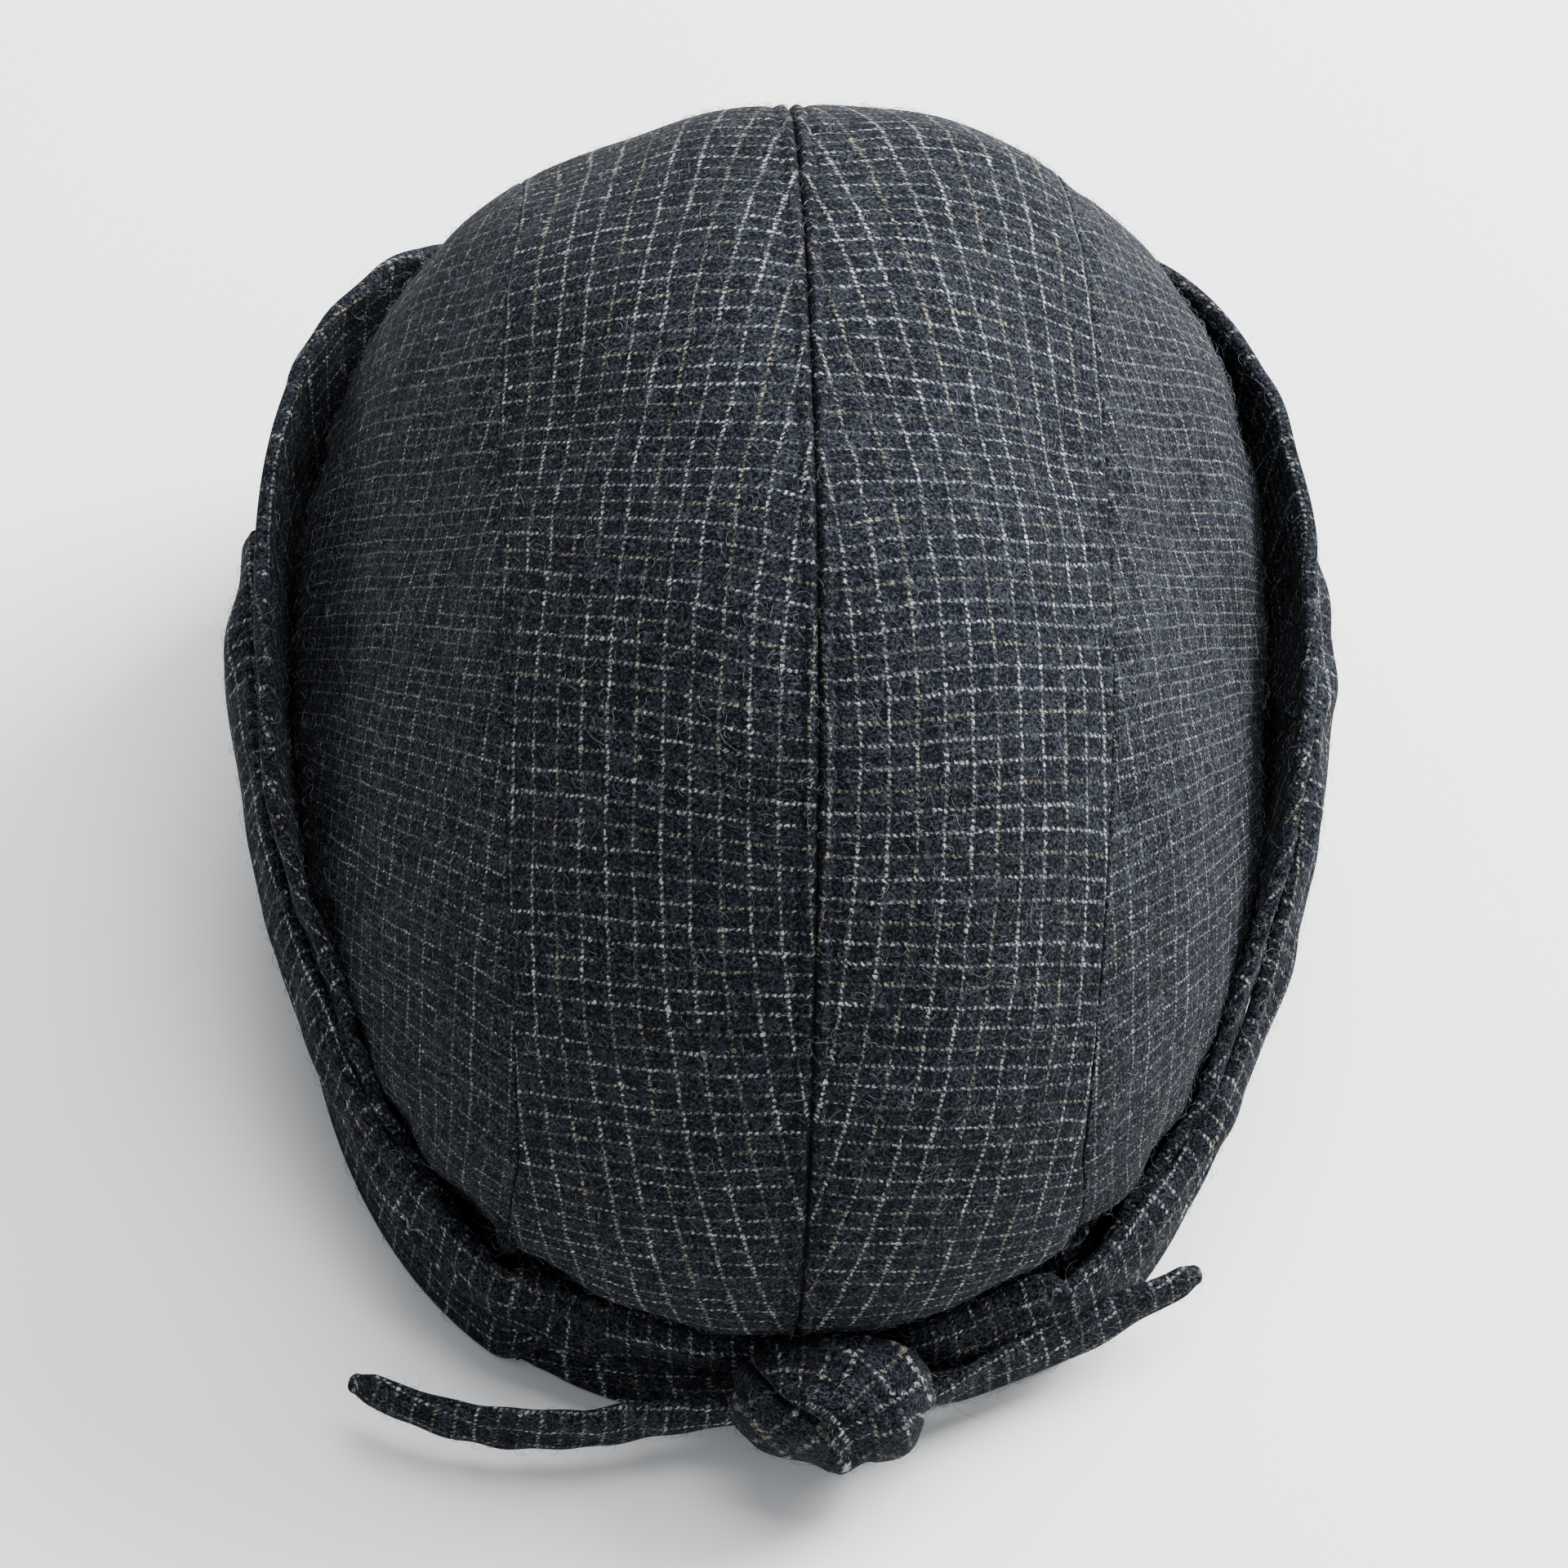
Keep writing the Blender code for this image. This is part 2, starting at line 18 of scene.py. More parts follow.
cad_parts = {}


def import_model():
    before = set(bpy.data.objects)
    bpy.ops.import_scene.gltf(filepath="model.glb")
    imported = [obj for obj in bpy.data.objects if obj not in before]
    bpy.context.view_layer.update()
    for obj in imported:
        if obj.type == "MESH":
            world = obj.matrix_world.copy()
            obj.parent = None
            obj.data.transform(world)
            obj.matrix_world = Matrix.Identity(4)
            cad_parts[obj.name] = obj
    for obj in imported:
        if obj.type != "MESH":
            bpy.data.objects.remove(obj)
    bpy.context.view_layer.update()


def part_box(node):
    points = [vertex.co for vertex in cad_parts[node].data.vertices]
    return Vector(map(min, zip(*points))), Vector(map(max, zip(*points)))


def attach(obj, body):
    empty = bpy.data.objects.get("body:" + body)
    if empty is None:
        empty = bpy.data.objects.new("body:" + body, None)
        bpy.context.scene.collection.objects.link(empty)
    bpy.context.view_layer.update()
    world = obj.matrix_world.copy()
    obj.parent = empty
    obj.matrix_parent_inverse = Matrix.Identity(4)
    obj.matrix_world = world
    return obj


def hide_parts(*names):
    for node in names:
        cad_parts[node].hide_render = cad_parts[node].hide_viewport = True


LOG = logging.getLogger("deerstalker_hat")
SEED = 58

Table = tuple[tuple[float, ...], ...]
Array = np.ndarray
Grid = tuple[Array, Array]
Colour = tuple[float, float, float, float]
Spot = tuple[float, float, float]


class Side(Enum):
    """A side of the hat, as its wearer has it."""

    RIGHT = 1
    LEFT = -1

    @property
    def word(self) -> str:
        """The side's name in the names of pieces."""
        return self.name.lower()


class Edge(Enum):
    """How a panel's edge is finished."""

    TOPSTITCHED = "topstitched"
    PLAIN = "plain"


# Shared maths


def smooth_read(rows: Table, place: Array, mirrored_start: bool = False) -> Array:
    """Read a table at fractional row numbers, along a smooth curve through its rows.

    Args:
        rows: the table.
        place: row numbers, with fractions.
        mirrored_start: whether the curve goes on as its mirror image before the first row.

    Returns:
        One row of values for each place.
    """
    table = np.asarray(rows, dtype=float)
    last = len(table) - 1
    before_first = 2.0 * table[0] - table[1]
    if mirrored_start:
        before_first = table[1] * np.array([-1.0, 1.0] * (table.shape[1] // 2))
    padded = np.vstack([before_first, table, 2.0 * table[last] - table[last - 1]])
    place = np.atleast_1d(np.asarray(place, dtype=float))
    first = np.clip(np.floor(place).astype(int), 0, last - 1)
    part = (place - first)[:, None]
    start, end = padded[first + 1], padded[first + 2]
    slope_start = 0.5 * (end - padded[first])
    slope_end = 0.5 * (padded[first + 3] - start)
    p2, p3 = part**2, part**3
    curve = (
        (2 * p3 - 3 * p2 + 1) * start
        + (p3 - 2 * p2 + part) * slope_start
        + (3 * p2 - 2 * p3) * end
        + (p3 - p2) * slope_end
    )
    return np.where(part > 1.0, end + (part - 1.0) * (end - start), curve)


def bump(distance: Array, width: float) -> Array:
    """A smooth hill of height 1 over a distance of 0."""
    return np.exp(-((distance / width) ** 2))


def ease(share: Array) -> Array:
    """Smooth step from 0 to 1."""
    share = np.clip(share, 0.0, 1.0)
    return share * share * (3.0 - 2.0 * share)


def grid_normals(points: Array, outward: Array) -> Array:
    """Unit normals of a grid of points, turned to the side that outward points to.

    Args:
        points: the grid, by row and column.
        outward: a direction for each point.

    Returns:
        The normal at each point.
    """
    along = np.gradient(points, axis=0)
    across = np.gradient(points, axis=1)
    normals = np.cross(along, across)
    normals /= np.maximum(np.linalg.norm(normals, axis=2, keepdims=True), 1e-12)
    flip = np.sign((normals * outward).sum(axis=2, keepdims=True))
    return normals * np.where(flip == 0.0, 1.0, flip)


def arc_lengths(points: Array, axis: int) -> Array:
    """Distance along each row or column of a grid of points, from its first point.

    Args:
        points: the grid, by row and column.
        axis: 0 to go from row to row, 1 to go from column to column.

    Returns:
        The distance at each point.
    """
    steps = np.linalg.norm(np.diff(points, axis=axis), axis=2)
    run = np.cumsum(steps, axis=axis)
    start = np.zeros_like(np.take(run, [0], axis=axis))
    return np.concatenate([start, run], axis=axis)


def waves(u: Array, v: Array, length: float, seed: int, layers: int = 7) -> Array:
    """A soft, uneven ripple over a surface, about 1 high.

    Args:
        u: place across, in metres.
        v: place along, in metres.
        length: the typical length of a ripple, in metres.
        seed: which ripple.
        layers: how many sines are added up.

    Returns:
        The height at each place.
    """
    rng = np.random.default_rng(SEED + seed)
    total = np.zeros_like(u)
    for _ in range(layers):
        turn, phase = rng.uniform(0.0, 2.0 * math.pi, 2)
        number = 2.0 * math.pi / (length * rng.uniform(0.7, 1.6))
        total += np.sin(number * (u * math.cos(turn) + v * math.sin(turn)) + phase)
    return total / math.sqrt(layers)


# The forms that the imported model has


@dataclass(frozen=True)
class CrownForm:
    """The crown's outer face, from its top (ring 0) to its hem (ring 1)."""

    width: float = 0.175
    length: float = 0.212
    height: float = 0.154
    front_fullness: float = 1.05
    back_fullness: float = 0.12
    hem_fullness: float = 0.45
    full_from: float = 0.40
    hem_from: float = 0.78
    egg: float = 0.075
    seam_offset: float = 0.0525
    seam_taper: float = 0.10
    lower_half: float = 0.45
    reach_halvings: int = 26
    seam_halvings: int = 40
    seam_samples: int = 481
    seam_top: float = 0.02
    rings: Table = (
        (0.000, 1.000, 0.000, 1.000, 0.000, 1.000),
        (0.178, 0.983, 0.214, 0.997, 0.175, 0.977),
        (0.356, 0.935, 0.427, 0.977, 0.350, 0.924),
        (0.511, 0.861, 0.621, 0.932, 0.505, 0.855),
        (0.633, 0.787, 0.777, 0.877, 0.631, 0.768),
        (0.733, 0.697, 0.883, 0.799, 0.748, 0.674),
        (0.822, 0.603, 0.951, 0.708, 0.845, 0.581),
        (0.894, 0.510, 0.985, 0.610, 0.922, 0.484),
        (0.950, 0.419, 1.000, 0.510, 0.976, 0.381),
        (0.989, 0.329, 1.000, 0.405, 1.000, 0.284),
        (1.000, 0.245, 0.990, 0.290, 0.990, 0.213),
        (0.989, 0.174, 0.976, 0.181, 0.947, 0.155),
        (0.972, 0.110, 0.976, 0.103, 0.955, 0.100),
        (0.968, 0.052, 0.985, 0.045, 0.985, 0.045),
        (0.975, 0.000, 0.995, 0.000, 1.010, 0.000),
    )

    def point(self, ring: Array, bearing: Array) -> Array:
        """Points on the outer face.

        Args:
            ring: places from the top, 0, to the hem, 1.
            bearing: directions round the vertical axis, in radians.

        Returns:
            An array of points with a last axis of 3.
        """
        ring, bearing = np.broadcast_arrays(np.asarray(ring, float), np.asarray(bearing, float))
        shape = ring.shape
        ring, bearing = ring.ravel(), bearing.ravel()
        row = smooth_read(self.rings, ring * (len(self.rings) - 1), True)
        c, s = np.cos(bearing), np.sin(bearing)
        front = s >= 0.0
        half_width = np.maximum(row[:, 0] * self.width / 2, 1e-9)
        half_length = np.maximum(np.where(front, row[:, 2], row[:, 4]) * self.length / 2, 1e-9)
        to_hem = np.maximum(ring - self.hem_from, 0.0) / (1.0 - self.hem_from)
        back_fullness = self.back_fullness + (self.hem_fullness - self.back_fullness) * to_hem
        forward = ease(0.5 + 0.5 * s)
        fullness = back_fullness + (self.front_fullness - back_fullness) * forward
        power = 2.0 + fullness * np.minimum(ring / self.full_from, 1.0)
        total = np.abs(c / half_width) ** power + np.abs(s / half_length) ** power
        reach = total ** (-1.0 / power) * (1.0 + self.egg * s * c * c)
        up = row[:, 1] * c * c + np.where(front, row[:, 3], row[:, 5]) * s * s
        points = np.stack([reach * c, reach * s, up * self.height], axis=1)
        return points.reshape(*shape, 3)

    def reach(self, bearing: Array, z: Array) -> Array:
        """Distance from the vertical axis to the outer face, in the crown's lower half.

        Args:
            bearing: directions round the vertical axis, in radians.
            z: heights.

        Returns:
            The distance for each bearing and height.
        """
        bearing, z = np.broadcast_arrays(np.asarray(bearing, float), np.asarray(z, float))
        low, high = np.full(z.shape, self.lower_half), np.full(z.shape, 1.0)
        for _ in range(self.reach_halvings):
            middle = 0.5 * (low + high)
            above = self.point(middle, bearing)[..., 2] > z
            low, high = np.where(above, middle, low), np.where(above, high, middle)
        found = self.point(0.5 * (low + high), bearing)
        return np.hypot(found[..., 0], found[..., 1])

    def seam_x(self, y: Array) -> Array:
        """Half the distance between the two side seams."""
        return self.seam_offset * (1.0 - self.seam_taper * (2.0 * y / self.length) ** 2)

    def _past_seam(self, ring: Array, bearing: Array) -> Array:
        """How far places on the right half lie outside the side seam."""
        points = self.point(ring, bearing)
        return points[..., 0] - self.seam_x(points[..., 1])

    def seam(self, count: int) -> tuple[Array, Array]:
        """Evenly spaced places along the right side seam, back to front.

        Args:
            count: how many places.

        Returns:
            Their rings and their bearings.
        """
        ends = []
        for sign in (-1.0, 1.0):
            low, high = 0.0, math.pi / 2
            for _ in range(self.seam_halvings):
                middle = 0.5 * (low + high)
                if self._past_seam(np.array([1.0]), np.array([sign * middle]))[0] > 0.0:
                    low = middle
                else:
                    high = middle
            ends.append(sign * low)
        bearings = np.linspace(ends[0], ends[1], self.seam_samples)
        low, high = np.full_like(bearings, self.seam_top), np.ones_like(bearings)
        for _ in range(self.seam_halvings):
            middle = 0.5 * (low + high)
            inside = self._past_seam(middle, bearings) < 0.0
            low, high = np.where(inside, middle, low), np.where(inside, high, middle)
        rings = 0.5 * (low + high)
        run = arc_lengths(self.point(rings, bearings)[None], 1)[0]
        even = np.linspace(0.0, run[-1], count)
        rings, bearings = np.interp(even, run, rings), np.interp(even, run, bearings)
        rings[0] = rings[-1] = 1.0
        return rings, bearings


@dataclass(frozen=True)
class TrimForm:
    """Where the flaps, ties, knot and peak lie round the crown."""

    crown: CrownForm
    gap: float = 0.0003
    flap_height: float = 0.080
    flap_cloth: float = 0.0028
    flap_spread: float = 0.006
    flap_power: float = 1.2
    flap_margin: float = 5.0
    tie_width: float = 0.0120
    tie_cloth: float = 0.0024
    tie_flare: float = 0.0068
    tie_root: float = 22.0
    knot_size: Spot = (0.035, 0.020, 0.026)
    knot_offset: float = 0.0065
    knot_level: float = 0.140
    knot_squareness: float = 0.8
    end_lean: float = 12.0
    peak_depth: float = 0.046
    peak_cloth: float = 0.0032
    peak_arch: float = 0.008
    peak_lift: float = 0.0045
    flap_sections: Table = (
        (57.0, 0.66, 0.35, 10.0),
        (50.0, 0.90, 0.55, 7.0),
        (34.0, 1.00, 0.85, 1.5),
        (14.0, 1.00, 1.00, 0.0),
        (-4.0, 0.92, 0.90, 0.0),
        (-20.0, 0.76, 0.40, 0.0),
        (-34.0, 0.57, -0.35, 0.0),
        (-47.0, 0.41, -0.75, 0.0),
        (-58.0, 0.28, -0.75, 0.0),
        (-66.0, 0.14, -0.85, 0.0),
    )
    tie_sections: Table = (
        (0.00, 0.405, 0.00),
        (0.11, 0.400, 0.60),
        (0.25, 0.370, 0.22),
        (0.41, 0.295, 0.06),
        (0.55, 0.220, 0.20),
        (0.70, 0.170, 0.40),
        (0.86, 0.140, 0.22),
        (1.00, 0.120, 0.08),
    )
    end_sections_left: Table = (
        (0.00, -0.110, 1.08),
        (0.20, -0.035, 1.08),
        (0.45, 0.055, 1.06),
        (0.69, 0.000, 1.06),
        (0.83, -0.130, 1.08),
        (1.00, -0.380, 1.10),
    )
    end_sections_right: Table = (
        (0.00, -0.165, 1.12),
        (0.19, -0.345, 1.15),
        (0.40, -0.600, 1.17),
        (0.60, -0.830, 1.18),
        (0.80, -1.110, 1.20),
        (1.00, -1.355, 1.22),
    )
    end_lengths: tuple[float, float] = (0.066, 0.049)

    def flap_row(self, share: Array) -> Array:
        """Bearing in degrees, height and spread of the flap at shares of the way along it."""
        return smooth_read(self.flap_sections, np.asarray(share) * (len(self.flap_sections) - 1))

    def flap_inner(self, bearing: Array, z: Array, height: Array, spread: Array) -> Array:
        """Distance of the flap's inner face from the axis.

        Args:
            bearing: directions round the vertical axis, in radians.
            z: heights of the places.
            height: height of the flap's upper edge there.
            spread: how far the flap stands off there, as a share of its full spread.

        Returns:
            The distance at each place.
        """
        lean = spread * self.flap_spread * np.clip(z / height, 0.0, 2.0) ** self.flap_power
        hem = self.crown.reach(bearing, np.zeros_like(z))
        return np.maximum(hem + lean, self.crown.reach(bearing, z)) + self.gap

    def flap_outer_at(self, bearing: Array, z: Array) -> Array:
        """Distance of the flap's outer face from the axis, or zero well away from the flap.

        Args:
            bearing: directions round the vertical axis, in radians.
            z: heights.

        Returns:
            The distance for each bearing and height.
        """
        shares = np.linspace(0.0, 1.0, 241)
        rows = self.flap_row(shares)
        degrees = np.degrees(bearing)
        front, rear = self.flap_sections[0][0], self.flap_sections[-1][0]
        near = (degrees >= rear - self.flap_margin) & (degrees <= front + self.flap_margin)
        held = np.clip(degrees, rear, front)
        height = np.interp(-held, -rows[:, 0], rows[:, 1]) * self.flap_height
        spread = np.interp(-held, -rows[:, 0], rows[:, 2])
        near &= z <= height + self.tie_width
        face = self.flap_inner(bearing, np.minimum(z, height), height, spread) + self.flap_cloth
        return np.where(near, face, 0.0)

    def knot_profile(self, share: float) -> float:
        """Share of the knot's half size left at a share of another half size from its middle."""
        power = 2.0 / self.knot_squareness
        return (1.0 - min(abs(share), 1.0) ** power) ** (1.0 / power)

    def knot_middle(self) -> Array:
        """Find where the knot lies against the crown.

        Returns:
            The knot's middle, in the crown's frame.
        """
        height = self.knot_level * self.crown.height
        farthest = 0.0
        for share in np.linspace(-1.0, 1.0, 21):
            behind = self.crown.reach(-math.pi / 2, height + share * self.knot_size[2] / 2)
            farthest = max(farthest, float(behind) + self.knot_size[1] / 2 * self.knot_profile(share))
        return np.array([self.knot_offset, -(farthest + self.gap), height])

    def tie_end(self, side: Side) -> float:
        """Find where a tie meets the side of the knot.

        Args:
            side: which tie.

        Returns:
            The bearing of that place, in radians.
        """
        middle = self.knot_middle()
        behind = self.crown.reach(-math.pi / 2, self.tie_sections[-1][1] * self.crown.height)
        reach = float(behind) + self.tie_cloth + self.tie_flare / 4
        share = (-middle[1] - reach) / (self.knot_size[1] / 2)
        beside = self.knot_size[0] / 2 * self.knot_profile(share)
        return -math.acos((beside + side.value * middle[0] + self.gap) / reach)

    def tie_face(self, side: Side, stations: int, strips: int) -> tuple[Array, Array, Array]:
        """The tie's inner face: its upper edge on the flap or crown, its lower edge flared.

        Args:
            side: which tie.
            stations: number of places along it.
            strips: number of places across it.

        Returns:
            Bearings, heights and distances from the axis, by station and strip.
        """
        run = np.linspace(0.0, 1.0, stations)
        rows = smooth_read(self.tie_sections, run * (len(self.tie_sections) - 1))
        root = math.radians(self.tie_root)
        bearings = root + (self.tie_end(side) - root) * rows[:, 0:1]
        flares = rows[:, 2:3] * self.tie_flare
        rises = np.sqrt(self.tie_width**2 - flares**2)
        across = np.linspace(-0.5, 0.5, strips)[None]
        heights = rows[:, 1:2] * self.crown.height + rises * across
        turned = np.broadcast_to(bearings, heights.shape)
        crown = self.crown.reach(turned, heights)
        flap = np.maximum(self.flap_outer_at(turned, heights) - crown, 0.0)
        under = crown + upper_envelope(flap, max(stations // 15, 2))
        flat = flares * (0.5 - across)
        faces = flat + (under - flat).max(axis=1, keepdims=True) + self.gap
        return turned, heights, faces


def upper_envelope(values: Array, window: int) -> Array:
    """Smooth rows of values along the first axis, nowhere below the values themselves.

    Args:
        values: the rows.
        window: how many rows on each side are looked at.

    Returns:
        The smoothed rows.
    """
    count = len(values)
    padded = np.pad(values, ((window, window), (0, 0)), mode="edge")
    highest = np.max([padded[k : k + count] for k in range(2 * window + 1)], axis=0)
    padded = np.pad(highest, ((window, window), (0, 0)), mode="edge")
    return np.mean([padded[k : k + count] for k in range(2 * window + 1)], axis=0)


# Finishes


class Nodes:
    """Short ways to add and join shader nodes in one tree."""

    def __init__(self, tree: bpy.types.NodeTree) -> None:
        """Keep the tree that nodes are added to."""
        self.tree = tree

    def add(self, kind: str, **settings: object) -> bpy.types.Node:
        """Add a node and set its own properties.

        Args:
            kind: the node's type name.
            **settings: its properties and their values.

        Returns:
            The new node.
        """
        node = self.tree.nodes.new(kind)
        for name, value in settings.items():
            setattr(node, name, value)
        return node

    def feed(self, socket: bpy.types.NodeSocket, value: object) -> None:
        """Join a socket to another one, or give it a plain value.

        Args:
            socket: the input to fill.
            value: another node's output, or a number, colour or vector.
        """
        if isinstance(value, bpy.types.NodeSocket):
            self.tree.links.new(value, socket)
        else:
            socket.default_value = value

    def math(self, operation: str, *values: object, clamp: bool = False) -> bpy.types.NodeSocket:
        """One step of arithmetic.

        Args:
            operation: the name of the step.
            *values: its inputs, sockets or numbers.
            clamp: whether the result is held between 0 and 1.

        Returns:
            The result's socket.
        """
        node = self.add("ShaderNodeMath", operation=operation, use_clamp=clamp)
        for number, value in enumerate(values):
            self.feed(node.inputs[number], value)
        return node.outputs[0]

    def vector(self, operation: str, *values: object) -> bpy.types.NodeSocket:
        """One step of arithmetic on vectors.

        Args:
            operation: the name of the step.
            *values: its inputs; the second one of SCALE is a number.

        Returns:
            The result's socket.
        """
        node = self.add("ShaderNodeVectorMath", operation=operation)
        for number, value in enumerate(values):
            slot = 3 if operation == "SCALE" and number == 1 else number
            self.feed(node.inputs[slot], value)
        return node.outputs[0]

    def ramp(self, value: object, low: float, high: float,
             to: tuple[float, float] = (0.0, 1.0)) -> bpy.types.NodeSocket:
        """A smooth step of a value between two limits.

        Args:
            value: the value's socket.
            low: where the step starts.
            high: where it ends.
            to: the results at its start and end.

        Returns:
            The result's socket.
        """
        node = self.add("ShaderNodeMapRange", interpolation_type="SMOOTHSTEP")
        names = ("Value", "From Min", "From Max", "To Min", "To Max")
        for name, number in zip(names, (value, low, high, *to)):
            self.feed(node.inputs[name], number)
        return node.outputs[0]

    def noise(self, vector: object, scale: float, detail: float = 2.0) -> bpy.types.Node:
        """A noise texture on a vector in metres.

        Args:
            vector: the socket of the places.
            scale: lumps per metre.
            detail: how many finer layers are added.

        Returns:
            The texture's node.
        """
        node = self.add("ShaderNodeTexNoise", noise_dimensions="3D")
        self.feed(node.inputs["Vector"], vector)
        self.feed(node.inputs["Scale"], scale)
        self.feed(node.inputs["Detail"], detail)
        self.feed(node.inputs["Distortion"], 0.0)
        return node

    def mix(self, share: object, first: object, second: object) -> bpy.types.NodeSocket:
        """A mix of two colours.

        Args:
            share: how much of the second colour, from 0 to 1.
            first: the first colour or its socket.
            second: the second colour or its socket.

        Returns:
            The result's socket.
        """
        node = self.add("ShaderNodeMix", data_type="RGBA")
        self.feed(node.inputs[0], share)
        self.feed(node.inputs[6], first)
        self.feed(node.inputs[7], second)
        return node.outputs[2]


def new_group(
    name: str, inputs: tuple[tuple[str, str, object], ...], outputs: tuple[tuple[str, str], ...]
) -> tuple[bpy.types.NodeTree, Nodes, bpy.types.Node, bpy.types.Node]:
    """Start a shader node group with named sockets.

    Args:
        name: the group's name.
        inputs: name, socket kind and default value of each input.
        outputs: name and socket kind of each output.

    Returns:
        The group, its node helper, its input node and its output node.
    """
    group = bpy.data.node_groups.new(name, "ShaderNodeTree")
    for title, kind, value in inputs:
        socket = group.interface.new_socket(title, in_out="INPUT", socket_type=kind)
        if value is not None:
            socket.default_value = value
    for title, kind in outputs:
        group.interface.new_socket(title, in_out="OUTPUT", socket_type=kind)
    nodes = Nodes(group)
    return group, nodes, nodes.add("NodeGroupInput"), nodes.add("NodeGroupOutput")


@dataclass(frozen=True)
class CheckWeave:
    """The woven graph check: thin broken lines in two directions, two white and one tan."""

    pitch_across: float = 5.1
    pitch_along: float = 3.7
    dash: float = 1.12
    line_core: float = 0.04
    line_edge: float = 0.42
    dash_slant: float = 0.55
    dash_edge: tuple[float, float] = (0.10, 0.38)
    dash_gap: float = 0.04
    drift: tuple[float, float] = (95.0, 1.1)
    waver: tuple[float, float] = (1300.0, 0.80)
    wear: float = 170.0
    hair: float = 3100.0
    along_share: float = 0.85
    crossing: float = 1.6
    white: Colour = (0.43, 0.46, 0.45, 1.0)
    tan: Colour = (0.27, 0.255, 0.19, 1.0)

    def _lines(
        self, nodes: Nodes, place: object, along: object, pitch: float, other: float
    ) -> tuple[bpy.types.NodeSocket, bpy.types.NodeSocket]:
        """One family of lines.

        Args:
            nodes: the group's node helper.
            place: places across the lines, in millimetres.
            along: places along the lines, in millimetres.
            pitch: the distance between two lines, in millimetres.
            other: a number that sets this family's random draws apart.

        Returns:
            The mask of the lines with their dashes, and their colour.
        """
        number = nodes.math("DIVIDE", place, pitch)
        nearest = nodes.math("ROUND", number)
        off = nodes.math("ABSOLUTE", nodes.math("SUBTRACT", number, nearest))
        distance = nodes.math("MULTIPLY", off, pitch)
        line = nodes.ramp(distance, self.line_core, self.line_edge, (1.0, 0.0))
        slanted = nodes.math("MULTIPLY_ADD", place, self.dash_slant, along)
        step = nodes.math("DIVIDE", slanted, self.dash)
        part = nodes.math("ABSOLUTE", nodes.math("SUBTRACT", nodes.math("FRACT", step), 0.5))
        dash = nodes.ramp(part, *self.dash_edge, (1.0, self.dash_gap))
        cell = nodes.add("ShaderNodeCombineXYZ")
        nodes.feed(cell.inputs[0], nearest)
        nodes.feed(cell.inputs[1], nodes.math("FLOOR", step))
        nodes.feed(cell.inputs[2], other)
        chance = nodes.add("ShaderNodeTexWhiteNoise", noise_dimensions="3D")
        nodes.feed(chance.inputs["Vector"], cell.outputs[0])
        bright = nodes.math("MULTIPLY_ADD", nodes.math("POWER", chance.outputs["Value"], 1.4), 1.05, 0.22)
        mask = nodes.math("MULTIPLY", nodes.math("MULTIPLY", line, dash), bright)
        third = nodes.math("FRACT", nodes.math("DIVIDE", nearest, 3.0))
        is_tan = nodes.math("GREATER_THAN", nodes.math("ABSOLUTE", nodes.math("SUBTRACT", third, 0.5)), 0.4)
        return mask, nodes.mix(is_tan, self.white, self.tan)

    def group(self) -> bpy.types.NodeTree:
        """Returns:
            The group.
        """
        name = "graph_check"
        if name in bpy.data.node_groups:
            return bpy.data.node_groups[name]
        group, nodes, start, end = new_group(
            name,
            (("Map", "NodeSocketVector", None), ("Place", "NodeSocketVector", None)),
            (("Mask", "NodeSocketFloat"), ("Colour", "NodeSocketColor")),
        )
        place = start.outputs["Place"]
        half = (0.5, 0.5, 0.5)
        drift = nodes.vector("SUBTRACT", nodes.noise(place, self.drift[0], 1.0).outputs["Color"], half)
        fine = nodes.vector("SUBTRACT", nodes.noise(place, self.waver[0], 0.0).outputs["Color"], half)
        mapped = nodes.vector("SCALE", start.outputs["Map"], 1000.0)
        mapped = nodes.vector("ADD", mapped, nodes.vector("SCALE", drift, self.drift[1]))
        mapped = nodes.vector("ADD", mapped, nodes.vector("SCALE", fine, self.waver[1]))
        split = nodes.add("ShaderNodeSeparateXYZ")
        nodes.feed(split.inputs[0], mapped)
        u, v = split.outputs[0], split.outputs[1]
        mask_u, colour_u = self._lines(nodes, u, v, self.pitch_across, 3.0)
        mask_v, colour_v = self._lines(nodes, v, u, self.pitch_along, 7.0)
        worn = nodes.ramp(nodes.noise(place, self.wear, 1.0).outputs["Fac"], 0.34, 0.60, (0.40, 1.0))
        crossing = nodes.math("MULTIPLY", nodes.math("MULTIPLY", mask_u, mask_v), self.crossing)
        stronger = nodes.math("MAXIMUM", mask_u, nodes.math("MULTIPLY", mask_v, self.along_share))
        both = nodes.math("ADD", stronger, crossing)
        hairy = nodes.ramp(nodes.noise(place, self.hair, 0.0).outputs["Fac"], 0.36, 0.60, (0.22, 1.25))
        both = nodes.math("MULTIPLY", both, hairy)
        nodes.feed(end.inputs["Mask"], nodes.math("MULTIPLY", both, worn, clamp=True))
        along = nodes.math("GREATER_THAN", mask_v, mask_u)
        nodes.feed(end.inputs["Colour"], nodes.mix(along, colour_u, colour_v))
        return group


